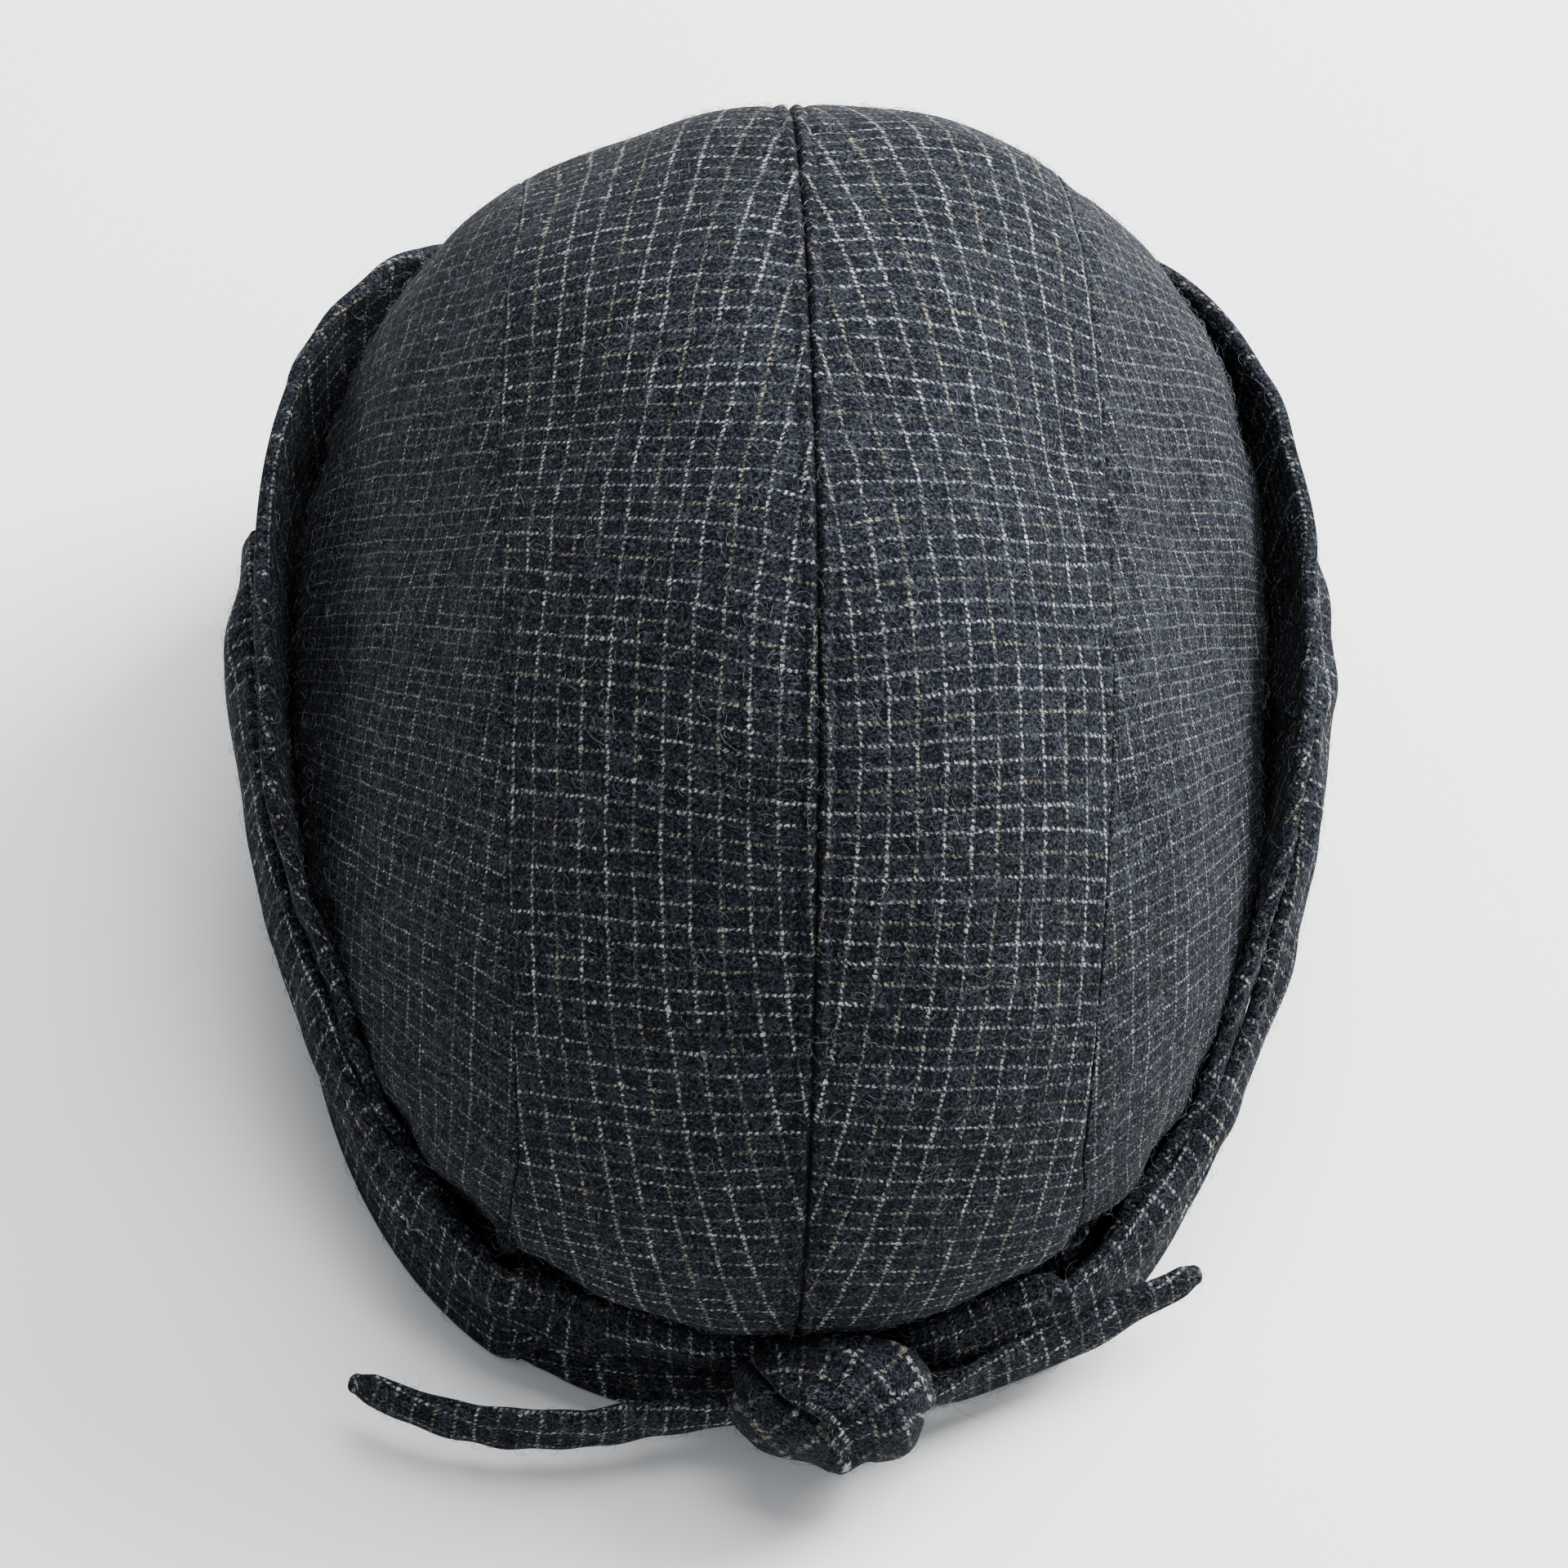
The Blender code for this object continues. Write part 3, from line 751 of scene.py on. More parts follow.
@dataclass(frozen=True)
class BrushedNap:
    """The brushed surface: short curled grey fibres over dark navy yarn."""

    name: str = "brushed_nap"
    long_curl: tuple[float, float, float] = (430.0, 0.034, 0.0)
    short_curl: tuple[float, float, float] = (800.0, 0.052, 3.1)
    cross_curl: tuple[float, float, float] = (560.0, 0.040, 7.7)
    curl_share: float = 0.42
    speck_share: float = 0.62
    speck_power: float = 1.6
    patch_scale: float = 240.0
    grain_scale: float = 1750.0
    height: float = 1.1

    def _curls(
        self, nodes: Nodes, place: object, scale: float, width: float, seed: float
    ) -> bpy.types.NodeSocket:
        """Thin curled threads along the level lines of a noise.

        Args:
            nodes: the group's node helper.
            place: the socket of the places.
            scale: curls per metre.
            width: how wide a thread is, in steps of the noise.
            seed: how far the noise is moved.

        Returns:
            The socket of the threads' mask.
        """
        moved = nodes.vector("ADD", place, (seed, seed * 0.7, seed * 1.3))
        level = nodes.noise(moved, scale, 1.0).outputs["Fac"]
        away = nodes.math("ABSOLUTE", nodes.math("SUBTRACT", level, 0.5))
        return nodes.ramp(away, 0.0, width, (1.0, 0.0))

    def group(self) -> bpy.types.NodeTree:
        """Make the node group that gives the nap's share of pale fibre and its height, once.

        Returns:
            The group.
        """
        if self.name in bpy.data.node_groups:
            return bpy.data.node_groups[self.name]
        group, nodes, start, end = new_group(
            self.name,
            (("Place", "NodeSocketVector", None),),
            (("Fibre", "NodeSocketFloat"), ("Height", "NodeSocketFloat")),
        )
        place = start.outputs["Place"]
        long_curls = self._curls(nodes, place, *self.long_curl)
        short_curls = self._curls(nodes, place, *self.short_curl)
        cross_curls = self._curls(nodes, place, *self.cross_curl)
        spread = nodes.noise(place, self.patch_scale, 1.0).outputs["Fac"]
        patches = nodes.ramp(spread, 0.34, 0.66, (0.35, 1.0))
        grain = nodes.noise(place, self.grain_scale, 2.0).outputs["Fac"]
        speck = nodes.math("POWER", nodes.ramp(grain, 0.43, 0.72), self.speck_power)
        curls = nodes.math("MAXIMUM", long_curls, nodes.math("MAXIMUM", short_curls, cross_curls))
        shown = nodes.math("MULTIPLY", curls, patches)
        specks = nodes.math("MULTIPLY", speck, self.speck_share)
        fibre = nodes.math("MULTIPLY_ADD", shown, self.curl_share, specks, clamp=True)
        nodes.feed(end.inputs["Fibre"], fibre)
        nodes.feed(end.inputs["Height"], nodes.math("MULTIPLY", grain, self.height))
        return group


@dataclass(frozen=True)
class ClothFinish:
    """One shade of the brushed, checked wool."""

    name: str
    yarn: Colour = (0.0014, 0.0018, 0.0034, 1.0)
    pale_yarn: Colour = (0.0021, 0.0027, 0.0051, 1.0)
    yarn_patches: float = 38.0
    fibre: Colour = (0.043, 0.049, 0.060, 1.0)
    haze: float = 0.013
    haze_roughness: float = 0.30
    haze_tint: Colour = (0.50, 0.57, 0.64, 1.0)
    gloss: float = 0.06
    check: float = 1.0
    # Strength of the painted shade that darkens seam grooves and stitch rows towards the yarn colour.
    groove_shade: float = 0.85
    relief: float = 0.6
    relief_distance: float = 0.0006

    def material(self) -> bpy.types.Material:
        """Make the cloth's material, once.

        Returns:
            The material.
        """
        found = bpy.data.materials.get(self.name)
        if found:
            return found
        material = bpy.data.materials.new(self.name)
        material.use_nodes = True
        nodes = Nodes(material.node_tree)
        shader = material.node_tree.nodes["Principled BSDF"]
        place = nodes.add("ShaderNodeTexCoord").outputs["Object"]
        check = nodes.add("ShaderNodeGroup", node_tree=CheckWeave().group())
        nodes.feed(check.inputs["Map"], nodes.add("ShaderNodeUVMap", uv_map="cloth").outputs[0])
        nodes.feed(check.inputs["Place"], place)
        nap = nodes.add("ShaderNodeGroup", node_tree=BrushedNap().group())
        nodes.feed(nap.inputs["Place"], place)
        broad = nodes.noise(place, self.yarn_patches, 1.0).outputs["Fac"]
        yarn = nodes.mix(nodes.ramp(broad, 0.35, 0.7), self.yarn, self.pale_yarn)
        colour = nodes.mix(nap.outputs["Fibre"], yarn, self.fibre)
        shown = nodes.math("MULTIPLY", check.outputs["Mask"], self.check, clamp=True)
        colour = nodes.mix(shown, colour, check.outputs["Colour"])
        # Painted shade: the colour is darkened towards the dark yarn in seam grooves and stitch rows.
        groove_shade = nodes.add("ShaderNodeAttribute", attribute_name="groove_shade").outputs["Fac"]
        colour = nodes.mix(nodes.math("MULTIPLY", groove_shade, self.groove_shade, clamp=True), colour, self.yarn)
        nodes.feed(shader.inputs["Base Color"], colour)
        nodes.feed(shader.inputs["Roughness"], nodes.ramp(nap.outputs["Fibre"], 0.0, 1.0, (0.98, 0.86)))
        shader.inputs["Metallic"].default_value = 0.0
        shader.inputs["Specular IOR Level"].default_value = self.gloss
        shader.inputs["Sheen Weight"].default_value = self.haze
        shader.inputs["Sheen Roughness"].default_value = self.haze_roughness
        shader.inputs["Sheen Tint"].default_value = self.haze_tint
        relief = nodes.add("ShaderNodeBump")
        relief.inputs["Strength"].default_value = self.relief
        relief.inputs["Distance"].default_value = self.relief_distance
        nodes.feed(relief.inputs["Height"], nap.outputs["Height"])
        nodes.feed(shader.inputs["Normal"], relief.outputs[0])
        return material


@dataclass(frozen=True)
class PlainFinish:
    """A plain finish with a slight grain: loose fibre, or the floor."""

    name: str
    colour: Colour
    pale: Colour
    roughness: float
    scale: float
    gloss: float = 0.2

    def material(self) -> bpy.types.Material:
        """Make the material, once.

        Returns:
            The material.
        """
        found = bpy.data.materials.get(self.name)
        if found:
            return found
        material = bpy.data.materials.new(self.name)
        material.use_nodes = True
        nodes = Nodes(material.node_tree)
        shader = material.node_tree.nodes["Principled BSDF"]
        place = nodes.add("ShaderNodeTexCoord").outputs["Object"]
        share = nodes.ramp(nodes.noise(place, self.scale, 2.0).outputs["Fac"], 0.38, 0.64)
        nodes.feed(shader.inputs["Base Color"], nodes.mix(share, self.colour, self.pale))
        shader.inputs["Roughness"].default_value = self.roughness
        shader.inputs["Specular IOR Level"].default_value = self.gloss
        return material


CROWN_CLOTH = ClothFinish("wool_crown_check")
# The side panels' copy of the cloth has paler fibres and a fainter check: painted sheen for the nap's haze
# where the sides are seen at a grazing angle.
SIDE_CLOTH_PAINTED_SHEEN = ClothFinish("wool_side_check_painted_sheen", fibre=(0.050, 0.056, 0.068, 1.0), check=0.64)
FLAP_CLOTH = ClothFinish("wool_flap_check", check=0.8)
TIE_CLOTH = ClothFinish("wool_tie_check", check=0.9)
PEAK_CLOTH = ClothFinish("wool_peak_check")
NAP_FIBRE = PlainFinish(
    "loose_wool_fibre", (0.040, 0.046, 0.056, 1.0), (0.17, 0.185, 0.205, 1.0), 0.9, 420.0
)
PALE_FLOOR = PlainFinish("pale_floor", (0.92, 0.925, 0.93, 1.0), (0.935, 0.94, 0.945, 1.0), 0.9, 3.0)


# Making pieces


@dataclass
class Workshop:
    """Turns grids of points into finished pieces that ride on the hat."""

    offset: Array
    weld: float = 2e-6
    shortest: float = 1e-7
    made: list[bpy.types.Object] = field(default_factory=list)

    def place(self, points: Array) -> Array:
        """Move points from the crown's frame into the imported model's frame."""
        return points + self.offset

    def cloth(self, name: str, grid: Grid, wall: float, finish: ClothFinish, slot: str,
              nodes: tuple[str, ...], outward: Array, groove_shade: Array) -> bpy.types.Object:
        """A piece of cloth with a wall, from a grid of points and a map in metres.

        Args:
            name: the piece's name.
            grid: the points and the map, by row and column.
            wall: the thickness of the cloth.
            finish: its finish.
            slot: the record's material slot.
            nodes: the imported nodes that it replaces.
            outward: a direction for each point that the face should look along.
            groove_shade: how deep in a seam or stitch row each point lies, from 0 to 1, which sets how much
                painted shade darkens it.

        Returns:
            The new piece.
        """
        points = self.place(grid[0])
        bm, where = self.grid(points, grid[1])
        # The share of painted shade in seams and stitch rows is kept on the vertices for the material.
        layer = bm.verts.layers.float.new("groove_shade")
        for vert in bm.verts:
            vert[layer] = float(groove_shade[where[vert.index]])
        self._face_outwards(bm, where, outward)
        bmesh.ops.remove_doubles(bm, verts=bm.verts, dist=self.weld)
        piece = self.keep(name, bm, finish.material(), slot, nodes)
        solid = piece.modifiers.new("wall", "SOLIDIFY")
        solid.thickness = wall
        solid.offset = -1.0
        solid.use_even_offset = False
        return piece

    def band(self, name: str, grid: Grid, wall: float | Array, finish: ClothFinish, slot: str,
             nodes: tuple[str, ...], outward: Array, turns: int = 5) -> bpy.types.Object:
        """A closed band of cloth with rounded edges, from the grid of its middle face.

        The map runs on round the last column's edge, as the threads of a folded cloth do.

        Args:
            name: the piece's name.
            grid: the middle face's points and their map, by row and column.
            wall: the thickness of the cloth, one number or one for each point.
            finish: its finish.
            slot: the record's material slot.
            nodes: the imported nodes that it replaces.
            outward: a direction for each point that the outer face looks along.
            turns: how many steps go round an edge.

        Returns:
            The new piece.
        """
        middle, flat = grid
        normals = grid_normals(middle, outward)
        half = np.broadcast_to(np.asarray(wall, float), middle.shape[:2])[..., None] / 2
        ends = np.sin(np.linspace(math.pi / 2, 0.0, turns + 1))[:-1]
        beyond, beyond_flat = [], []
        for row, neighbour in ((0, 1), (-1, -2)):
            along = middle[row] - middle[neighbour]
            along = along / np.maximum(np.linalg.norm(along, axis=1, keepdims=True), 1e-12)
            step = flat[row] - flat[neighbour]
            step = step / max(float(np.linalg.norm(step, axis=1).max()), 1e-9)
            beyond.append(np.stack([middle[row] + along * half[row] * s for s in ends]))
            beyond_flat.append(np.stack([flat[row] + step * half[row] * s for s in ends]))
        middle = np.concatenate([beyond[0], middle, beyond[1][::-1]])
        flat = np.concatenate([beyond_flat[0], flat, beyond_flat[1][::-1]])
        normals = np.concatenate([normals[:1].repeat(turns, 0), normals, normals[-1:].repeat(turns, 0)])
        half = np.concatenate([half[:1].repeat(turns, 0), half, half[-1:].repeat(turns, 0)])
        thinner = np.sqrt(1.0 - ends**2)
        share = np.concatenate([thinner, np.ones(len(half) - 2 * turns), thinner[::-1]])
        half = half * share[:, None, None]
        loops, charts = [middle + normals * half], [flat]
        for column, neighbour, first in ((-1, -2, 1.0), (0, 1, -1.0)):
            out = middle[:, column] - middle[:, neighbour]
            out = out / np.maximum(np.linalg.norm(out, axis=1, keepdims=True), 1e-12)
            step = flat[:, column] - flat[:, neighbour]
            step = step / np.maximum(np.linalg.norm(step, axis=1, keepdims=True), 1e-9)
            angles = np.linspace(0.0, math.pi, turns + 2)[1:-1]
            edge, radius = middle[:, column], half[:, column]
            face = first * normals[:, column]
            arcs = [edge + radius * (math.cos(a) * face + math.sin(a) * out) for a in angles]
            loops.append(np.stack(arcs, axis=1))
            charts.append(np.stack([flat[:, column] + step * radius * a for a in angles], axis=1))
            if first > 0.0:
                loops.append((middle - normals * half)[:, ::-1])
                charts.append((2.0 * flat[:, -1:] - flat + (step * radius * math.pi)[:, None])[:, ::-1])
        loops.append(loops[0][:, :1])
        charts.append(charts[0][:, :1])
        skin = (np.concatenate(loops, axis=1), np.concatenate(charts, axis=1))
        return self._sleeve(name, skin, finish, slot, nodes)

    def _sleeve(self, name: str, grid: Grid, finish: ClothFinish, slot: str,
                nodes: tuple[str, ...]) -> bpy.types.Object:
        """A closed skin from a grid whose last column meets its first one.

        Args:
            name: the piece's name.
            grid: the points and the map, by row and column.
            finish: its finish.
            slot: the record's material slot.
            nodes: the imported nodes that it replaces.

        Returns:
            The new piece.
        """
        bm, _ = self.grid(self.place(grid[0]), grid[1])
        self.close(bm)
        return self.keep(name, bm, finish.material(), slot, nodes)

    def close(self, bm: bmesh.types.BMesh) -> None:
        """Merge the places where a skin meets itself and turn its faces outwards."""
        bmesh.ops.remove_doubles(bm, verts=bm.verts, dist=self.weld)
        bmesh.ops.dissolve_degenerate(bm, edges=bm.edges, dist=self.shortest)
        bmesh.ops.recalc_face_normals(bm, faces=bm.faces)

    def grid(self, points: Array, flat: Array) -> tuple[bmesh.types.BMesh, dict[int, tuple[int, int]]]:
        """Make a grid of faces.

        Args:
            points: where its vertices lie, by row and column.
            flat: the map at each vertex, in metres.

        Returns:
            The mesh, and the row and column of each of its vertices.
        """
        rows, columns = points.shape[:2]
        bm = bmesh.new()
        made = bmesh.ops.create_grid(bm, x_segments=columns - 1, y_segments=rows - 1, size=1.0)
        chart = bm.loops.layers.uv.new("cloth")
        bm.verts.index_update()
        where = {}
        for vert in made["verts"]:
            column = round((vert.co.x + 1.0) / 2.0 * (columns - 1))
            row = round((vert.co.y + 1.0) / 2.0 * (rows - 1))
            where[vert.index] = (row, column)
            vert.co = Vector(points[row, column])
        for face in bm.faces:
            for loop in face.loops:
                loop[chart].uv = flat[where[loop.vert.index]]
        return bm, where

    def _face_outwards(self, bm: bmesh.types.BMesh, where: dict[int, tuple[int, int]],
                       outward: Array) -> None:
        """Turn the faces to the side that outward gives.

        Args:
            bm: the mesh.
            where: the row and column of each of its vertices.
            outward: a direction for each row and column.
        """
        bm.normal_update()
        total = 0.0
        for face in bm.faces:
            wanted = outward[where[face.verts[0].index]]
            total += face.normal.dot(Vector(wanted)) * face.calc_area()
        if total < 0.0:
            bmesh.ops.reverse_faces(bm, faces=bm.faces)

    def keep(self, name: str, bm: bmesh.types.BMesh, material: bpy.types.Material, slot: str,
             nodes: tuple[str, ...] = ()) -> bpy.types.Object:
        """Turn a bmesh into a piece, give it a finish and let it ride on the hat.

        Args:
            name: the piece's name.
            bm: its shape, used up here.
            material: its material.
            slot: the record's material slot.
            nodes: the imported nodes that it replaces.

        Returns:
            The new piece.
        """
        mesh = bpy.data.meshes.new(name)
        bm.to_mesh(mesh)
        bm.free()
        return self.keep_mesh(name, mesh, material, slot, nodes)

    def keep_mesh(self, name: str, mesh: bpy.types.Mesh, material: bpy.types.Material, slot: str,
                  nodes: tuple[str, ...] = ()) -> bpy.types.Object:
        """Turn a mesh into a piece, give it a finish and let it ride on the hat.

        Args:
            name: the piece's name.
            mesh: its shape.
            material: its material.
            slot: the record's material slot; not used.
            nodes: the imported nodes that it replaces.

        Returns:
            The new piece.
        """
        mesh.shade_smooth()
        mesh.materials.clear()
        mesh.materials.append(material)
        piece = bpy.data.objects.new(name, mesh)
        bpy.context.scene.collection.objects.link(piece)
        if nodes:
            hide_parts(*nodes)
        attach(piece, "root")
        self.made.append(piece)
        LOG.info("%s: %d faces", name, len(mesh.polygons))
        return piece


def declare_cloth(points: Array,
                  edge: float = 0.0) -> None:
    """Work out the flat size that a piece of cloth's face measures; the result is not kept or returned.

    Args:
        points: the grid of its outer or middle face.
        edge: width that the folded edges add.
    """
    along = arc_lengths(points, 0)[-1].max()
    across = arc_lengths(points, 1)[:, -1].max() + edge
    cells = np.cross(points[1:, :-1] - points[:-1, :-1], points[:-1, 1:] - points[:-1, :-1])
    area = float(np.linalg.norm(cells, axis=2).sum()) + float(edge * along)
    area = min(max(area, 0.31 * along * across), along * across)


# Crown


@dataclass
class CrownPanels:
    """The four panels of the crown, with their seams, topstitching and soft dents."""

    shop: Workshop
    form: CrownForm
    trim: TrimForm
    stations: int = 260
    strips_centre: int = 58
    strips_side: int = 92
    wall: float = 0.0021
    seam_depth: float = 0.0008
    seam_width: float = 0.0005
    ridge: float = 0.00036
    stitch_row: float = 0.0028
    stitch_depth: float = 0.00055
    stitch_pitch: float = 0.0030
    apex_y: float = -0.052
    sag: float = 1.75
    tilt_left: float = 0.07
    tilt_right: float = -0.02
    first_line: float = 0.0017
    bend: float = 4.2
    fill_level: float = 0.060
    fill_depth: float = 0.0045
    hem_lift: float = 0.0009
    hem_zone: float = 0.005
    bunching: float = 0.105
    line_width: float = 0.0005
    dent_depth: float = 0.0045
    dent_bearing: tuple[float, float] = (68.0, 17.0)
    dent_level: tuple[float, float] = (0.122, 0.024)
    gather_depth: float = 0.00065
    gather_bearing: tuple[float, float] = (-52.0, 27.0)
    fill_bearing: tuple[float, float] = (36.0, 26.0)
    fill_top: tuple[float, float] = (0.084, 0.024)
    soft_long: tuple[float, float] = (0.00042, 0.055)
    soft_short: tuple[float, float] = (0.00016, 0.019)
    core: Spot = (0.0, 0.0, 0.05)
    mirror_gap: float = 0.00004

    def _shares(self, count: int) -> Array:
        """Places across a panel, closer together near both seams."""
        even = np.linspace(0.0, 1.0, count)
        return even - self.bunching * np.sin(2.0 * math.pi * even)

    def _arc(self, x: Array, y: Array, start: Array) -> Array:
        """Length over the crown from a start to a place, straight across the disc of rings.

        Args:
            x: places across the disc.
            y: places along the disc.
            start: where each path starts, across the disc.

        Returns:
            The length of each path.
        """
        shares = np.linspace(0.0, 1.0, 25)
        across = start + (x - start) * shares[:, None, None]
        path = self.form.point(np.minimum(np.hypot(across, y), 1.0), np.arctan2(y, across))
        return np.linalg.norm(np.diff(path, axis=0), axis=3).sum(axis=0)

    def _length(self, y: Array) -> Array:
        """Length along the middle of the crown, forward from the apex of the check.

        Args:
            y: places along the disc of rings.

        Returns:
            The length at each place.
        """
        places = np.linspace(-1.0, 1.0, 1201)
        path = self.form.point(np.abs(places), np.sign(places) * math.pi / 2)
        run = arc_lengths(path[None], 1)[0]
        return np.interp(y, places, run - np.interp(self.apex_y, path[:, 1], run))

    def _sag(self, run: Array) -> tuple[Array, Array]:
        """Args:
            run: places along the crown.

        Returns:
            The distance cut away at each place, and its slope.
        """
        bent = np.abs(run)
        return (
            self.sag * np.where(bent < 0.07, bent**2, 0.0049 + (bent - 0.07) * 0.14),
            self.sag * np.sign(run) * np.minimum(2.0 * bent, 0.14),
        )

    def _groove_shade(self, lateral: Array, rest: Array, run: Array) -> Array:
        """How much painted shade darkens the seams and stitch rows between a topstitched and a plain edge.

        Args:
            lateral: distances from the topstitched edge.
            rest: distances from the plain edge.
            run: places along the crown.

        Returns:
            A share from 0 to 1 at each place.
        """
        pull = ease(0.75 + 0.75 * np.cos(2.0 * math.pi * run / self.stitch_pitch))
        rows = bump(lateral - self.stitch_row, 0.00040) * (0.10 + 0.38 * pull)
        edges = 0.9 * bump(lateral, self.line_width) + rows + 0.25 * bump(rest, self.line_width)
        return np.clip(edges, 0.0, 1.0)

    def _bow(self, run: Array) -> Array:
        """How much the crosswise lines bend forward away from the middle, per metre."""
        return self.bend * ease((run + 0.035) / 0.115)

    def _seam_relief(self, away: Array, run: Array, edge: Edge) -> Array:
        """Height of the face near a seam.

        Args:
            away: distances from the seam.
            run: places along it.
            edge: how the panel's edge is finished there.

        Returns:
            The height at each place.
        """
        strength = 1.0 if edge is Edge.TOPSTITCHED else 0.25
        height = -strength * self.seam_depth * bump(away, self.seam_width)
        height += strength * self.ridge * bump(away - 0.0013, 0.0009)
        pull = 0.65 + 0.35 * np.cos(2.0 * math.pi * run / self.stitch_pitch)
        depth = self.stitch_depth * (1.0 if edge is Edge.TOPSTITCHED else 0.4)
        height -= depth * pull * bump(away - self.stitch_row, 0.00055)
        pucker = waves(away, run, 0.011, 5) * bump(away - 0.004, 0.006)
        return height + 0.00014 * pucker

    def _shoulder(self, points: Array, side: Side) -> Array:
        """Depth of the soft dent in the left front shoulder.

        Args:
            points: the face.
            side: which side of the hat it is on.

        Returns:
            The depth at each point.
        """
        bearing = np.degrees(np.arctan2(points[..., 1], np.abs(points[..., 0])))
        middle, spread = self.dent_bearing
        depth = self.dent_depth * bump(bearing - middle, spread)
        middle, spread = self.dent_level
        depth = depth * bump(points[..., 2] - middle, spread)
        return depth * ease(np.abs(points[..., 0]) / 0.03) if side is Side.LEFT else 0.0 * depth

    def _gathers(self, points: Array, side: Side) -> Array:
        """Small folds where the ties draw the crown in at its rear corners.

        Args:
            points: the face.
            side: which side of the hat it is on.

        Returns:
            The height at each point.
        """
        bearing = np.arctan2(points[..., 1], np.abs(points[..., 0]))
        z = points[..., 2]
        level = 0.052 + 0.018 * np.sin(bearing)
        middle, spread = self.gather_bearing
        zone = bump(np.degrees(bearing) - middle, spread) * bump(z - level + 0.008, 0.017)
        fold = np.sin(np.degrees(bearing) * 0.55 + z * 130.0 + side.value)
        return self.gather_depth * fold * zone

    def _fill(self, points: Array, side: Side) -> Array:
        """How far the right front shoulder fills out towards the flap that stands off it.

        Args:
            points: the face.
            side: which side of the hat it is on.

        Returns:
            The height at each point.
        """
        bearing = np.arctan2(points[..., 1], np.abs(points[..., 0]))
        reach = np.hypot(points[..., 0], points[..., 1])
        z = points[..., 2]
        flap = self.trim.flap_outer_at(bearing, np.minimum(z, self.fill_level)) - self.trim.flap_cloth
        free = np.clip(flap - reach - 0.0009, 0.0, self.fill_depth)
        middle, spread = self.fill_bearing
        top, fade = self.fill_top
        zone = bump(np.degrees(bearing) - middle, spread) * bump(np.maximum(z - top, 0.0), fade)
        return free * zone if side is Side.RIGHT else 0.0 * free

    def _shape(self, points: Array, flat: Array, side: Side, from_seams: Array) -> Grid:
        """Add the soft unevenness of worn cloth to a face, none of it on the seams.

        Args:
            points: the face.
            flat: its map.
            side: which side of the hat it is on.
            from_seams: distances from the nearest seam.

        Returns:
            The uneven face and its normals.
        """
        normals = grid_normals(points, points - self.core)
        inside = ease(points[..., 2] / 0.012) * ease(from_seams / 0.010)
        soft = np.zeros(points.shape[:2])
        for (height, length), seed in ((self.soft_long, 1), (self.soft_short, 11)):
            soft += height * waves(flat[..., 0], flat[..., 1], length, seed + side.value) * inside
        soft += self._gathers(points, side)
        return points + normals * soft[..., None], normals

    def _off_floor(self, z: Array) -> Array:
        """Heights with the hem's outer edge a little up, so that its inner edge lies on the floor."""
        return np.maximum(z, 0.0) + self.hem_lift * (1.0 - ease(z / self.hem_zone))

    def centre(self, side: Side) -> bpy.types.Object:
        """Build one of the two centre panels.

        Args:
            side: which side of the hat it is on.

        Returns:
            The new piece.
        """
        rings, bearings = self.form.seam(self.stations)
        shares = self._shares(self.strips_centre + 1)
        across, along = rings * np.cos(bearings), rings * np.sin(bearings)
        end = np.where(along >= 0.0, bearings[-1], bearings[0])
        end_across, end_along = np.cos(end), np.abs(np.sin(end))
        stretch = np.sqrt(1.0 - (shares[None] * end_across[:, None]) ** 2) / end_along[:, None]
        x, y = shares[None] * across[:, None], along[:, None] * stretch
        points = self.form.point(np.minimum(np.hypot(x, y), 1.0), np.arctan2(y, x))
        lateral, run = self._arc(x, y, np.zeros_like(x)), self._length(y)
        fade = 1.0 - 0.45 * shares[None]
        sag, slope = self._sag(run)
        tilt = self.tilt_left if side is Side.LEFT else self.tilt_right
        lean = 0.6 * slope * fade + tilt + self._bow(run) * lateral
        flat = np.stack(
            [lateral + sag * fade - self.first_line, run - lean * lateral + side.value * 0.0006], axis=2
        )
        rest = lateral[:, -1:] - lateral
        face, normals = self._shape(points, flat, side, np.minimum(lateral, rest))
        height = self._seam_relief(lateral, run, Edge.TOPSTITCHED)
        height += self._seam_relief(rest, run, Edge.PLAIN) - self._shoulder(points, side)
        face = face + normals * height[..., None]
        face[..., 0] += np.where(shares < 0.5, self.mirror_gap, -self.mirror_gap)
        face[..., 2] = self._off_floor(face[..., 2])
        face = face * (side.value, 1, 1)
        word = f"crown_panel_centre_{side.word}"
        # The seams and stitch rows get painted shade.
        piece = self.shop.cloth(f"{word}_cloth", (face, flat), self.wall, CROWN_CLOTH, "crown_cloth",
                                (word,), face - self.core, self._groove_shade(lateral, rest, run))
        declare_cloth(face)
        return piece

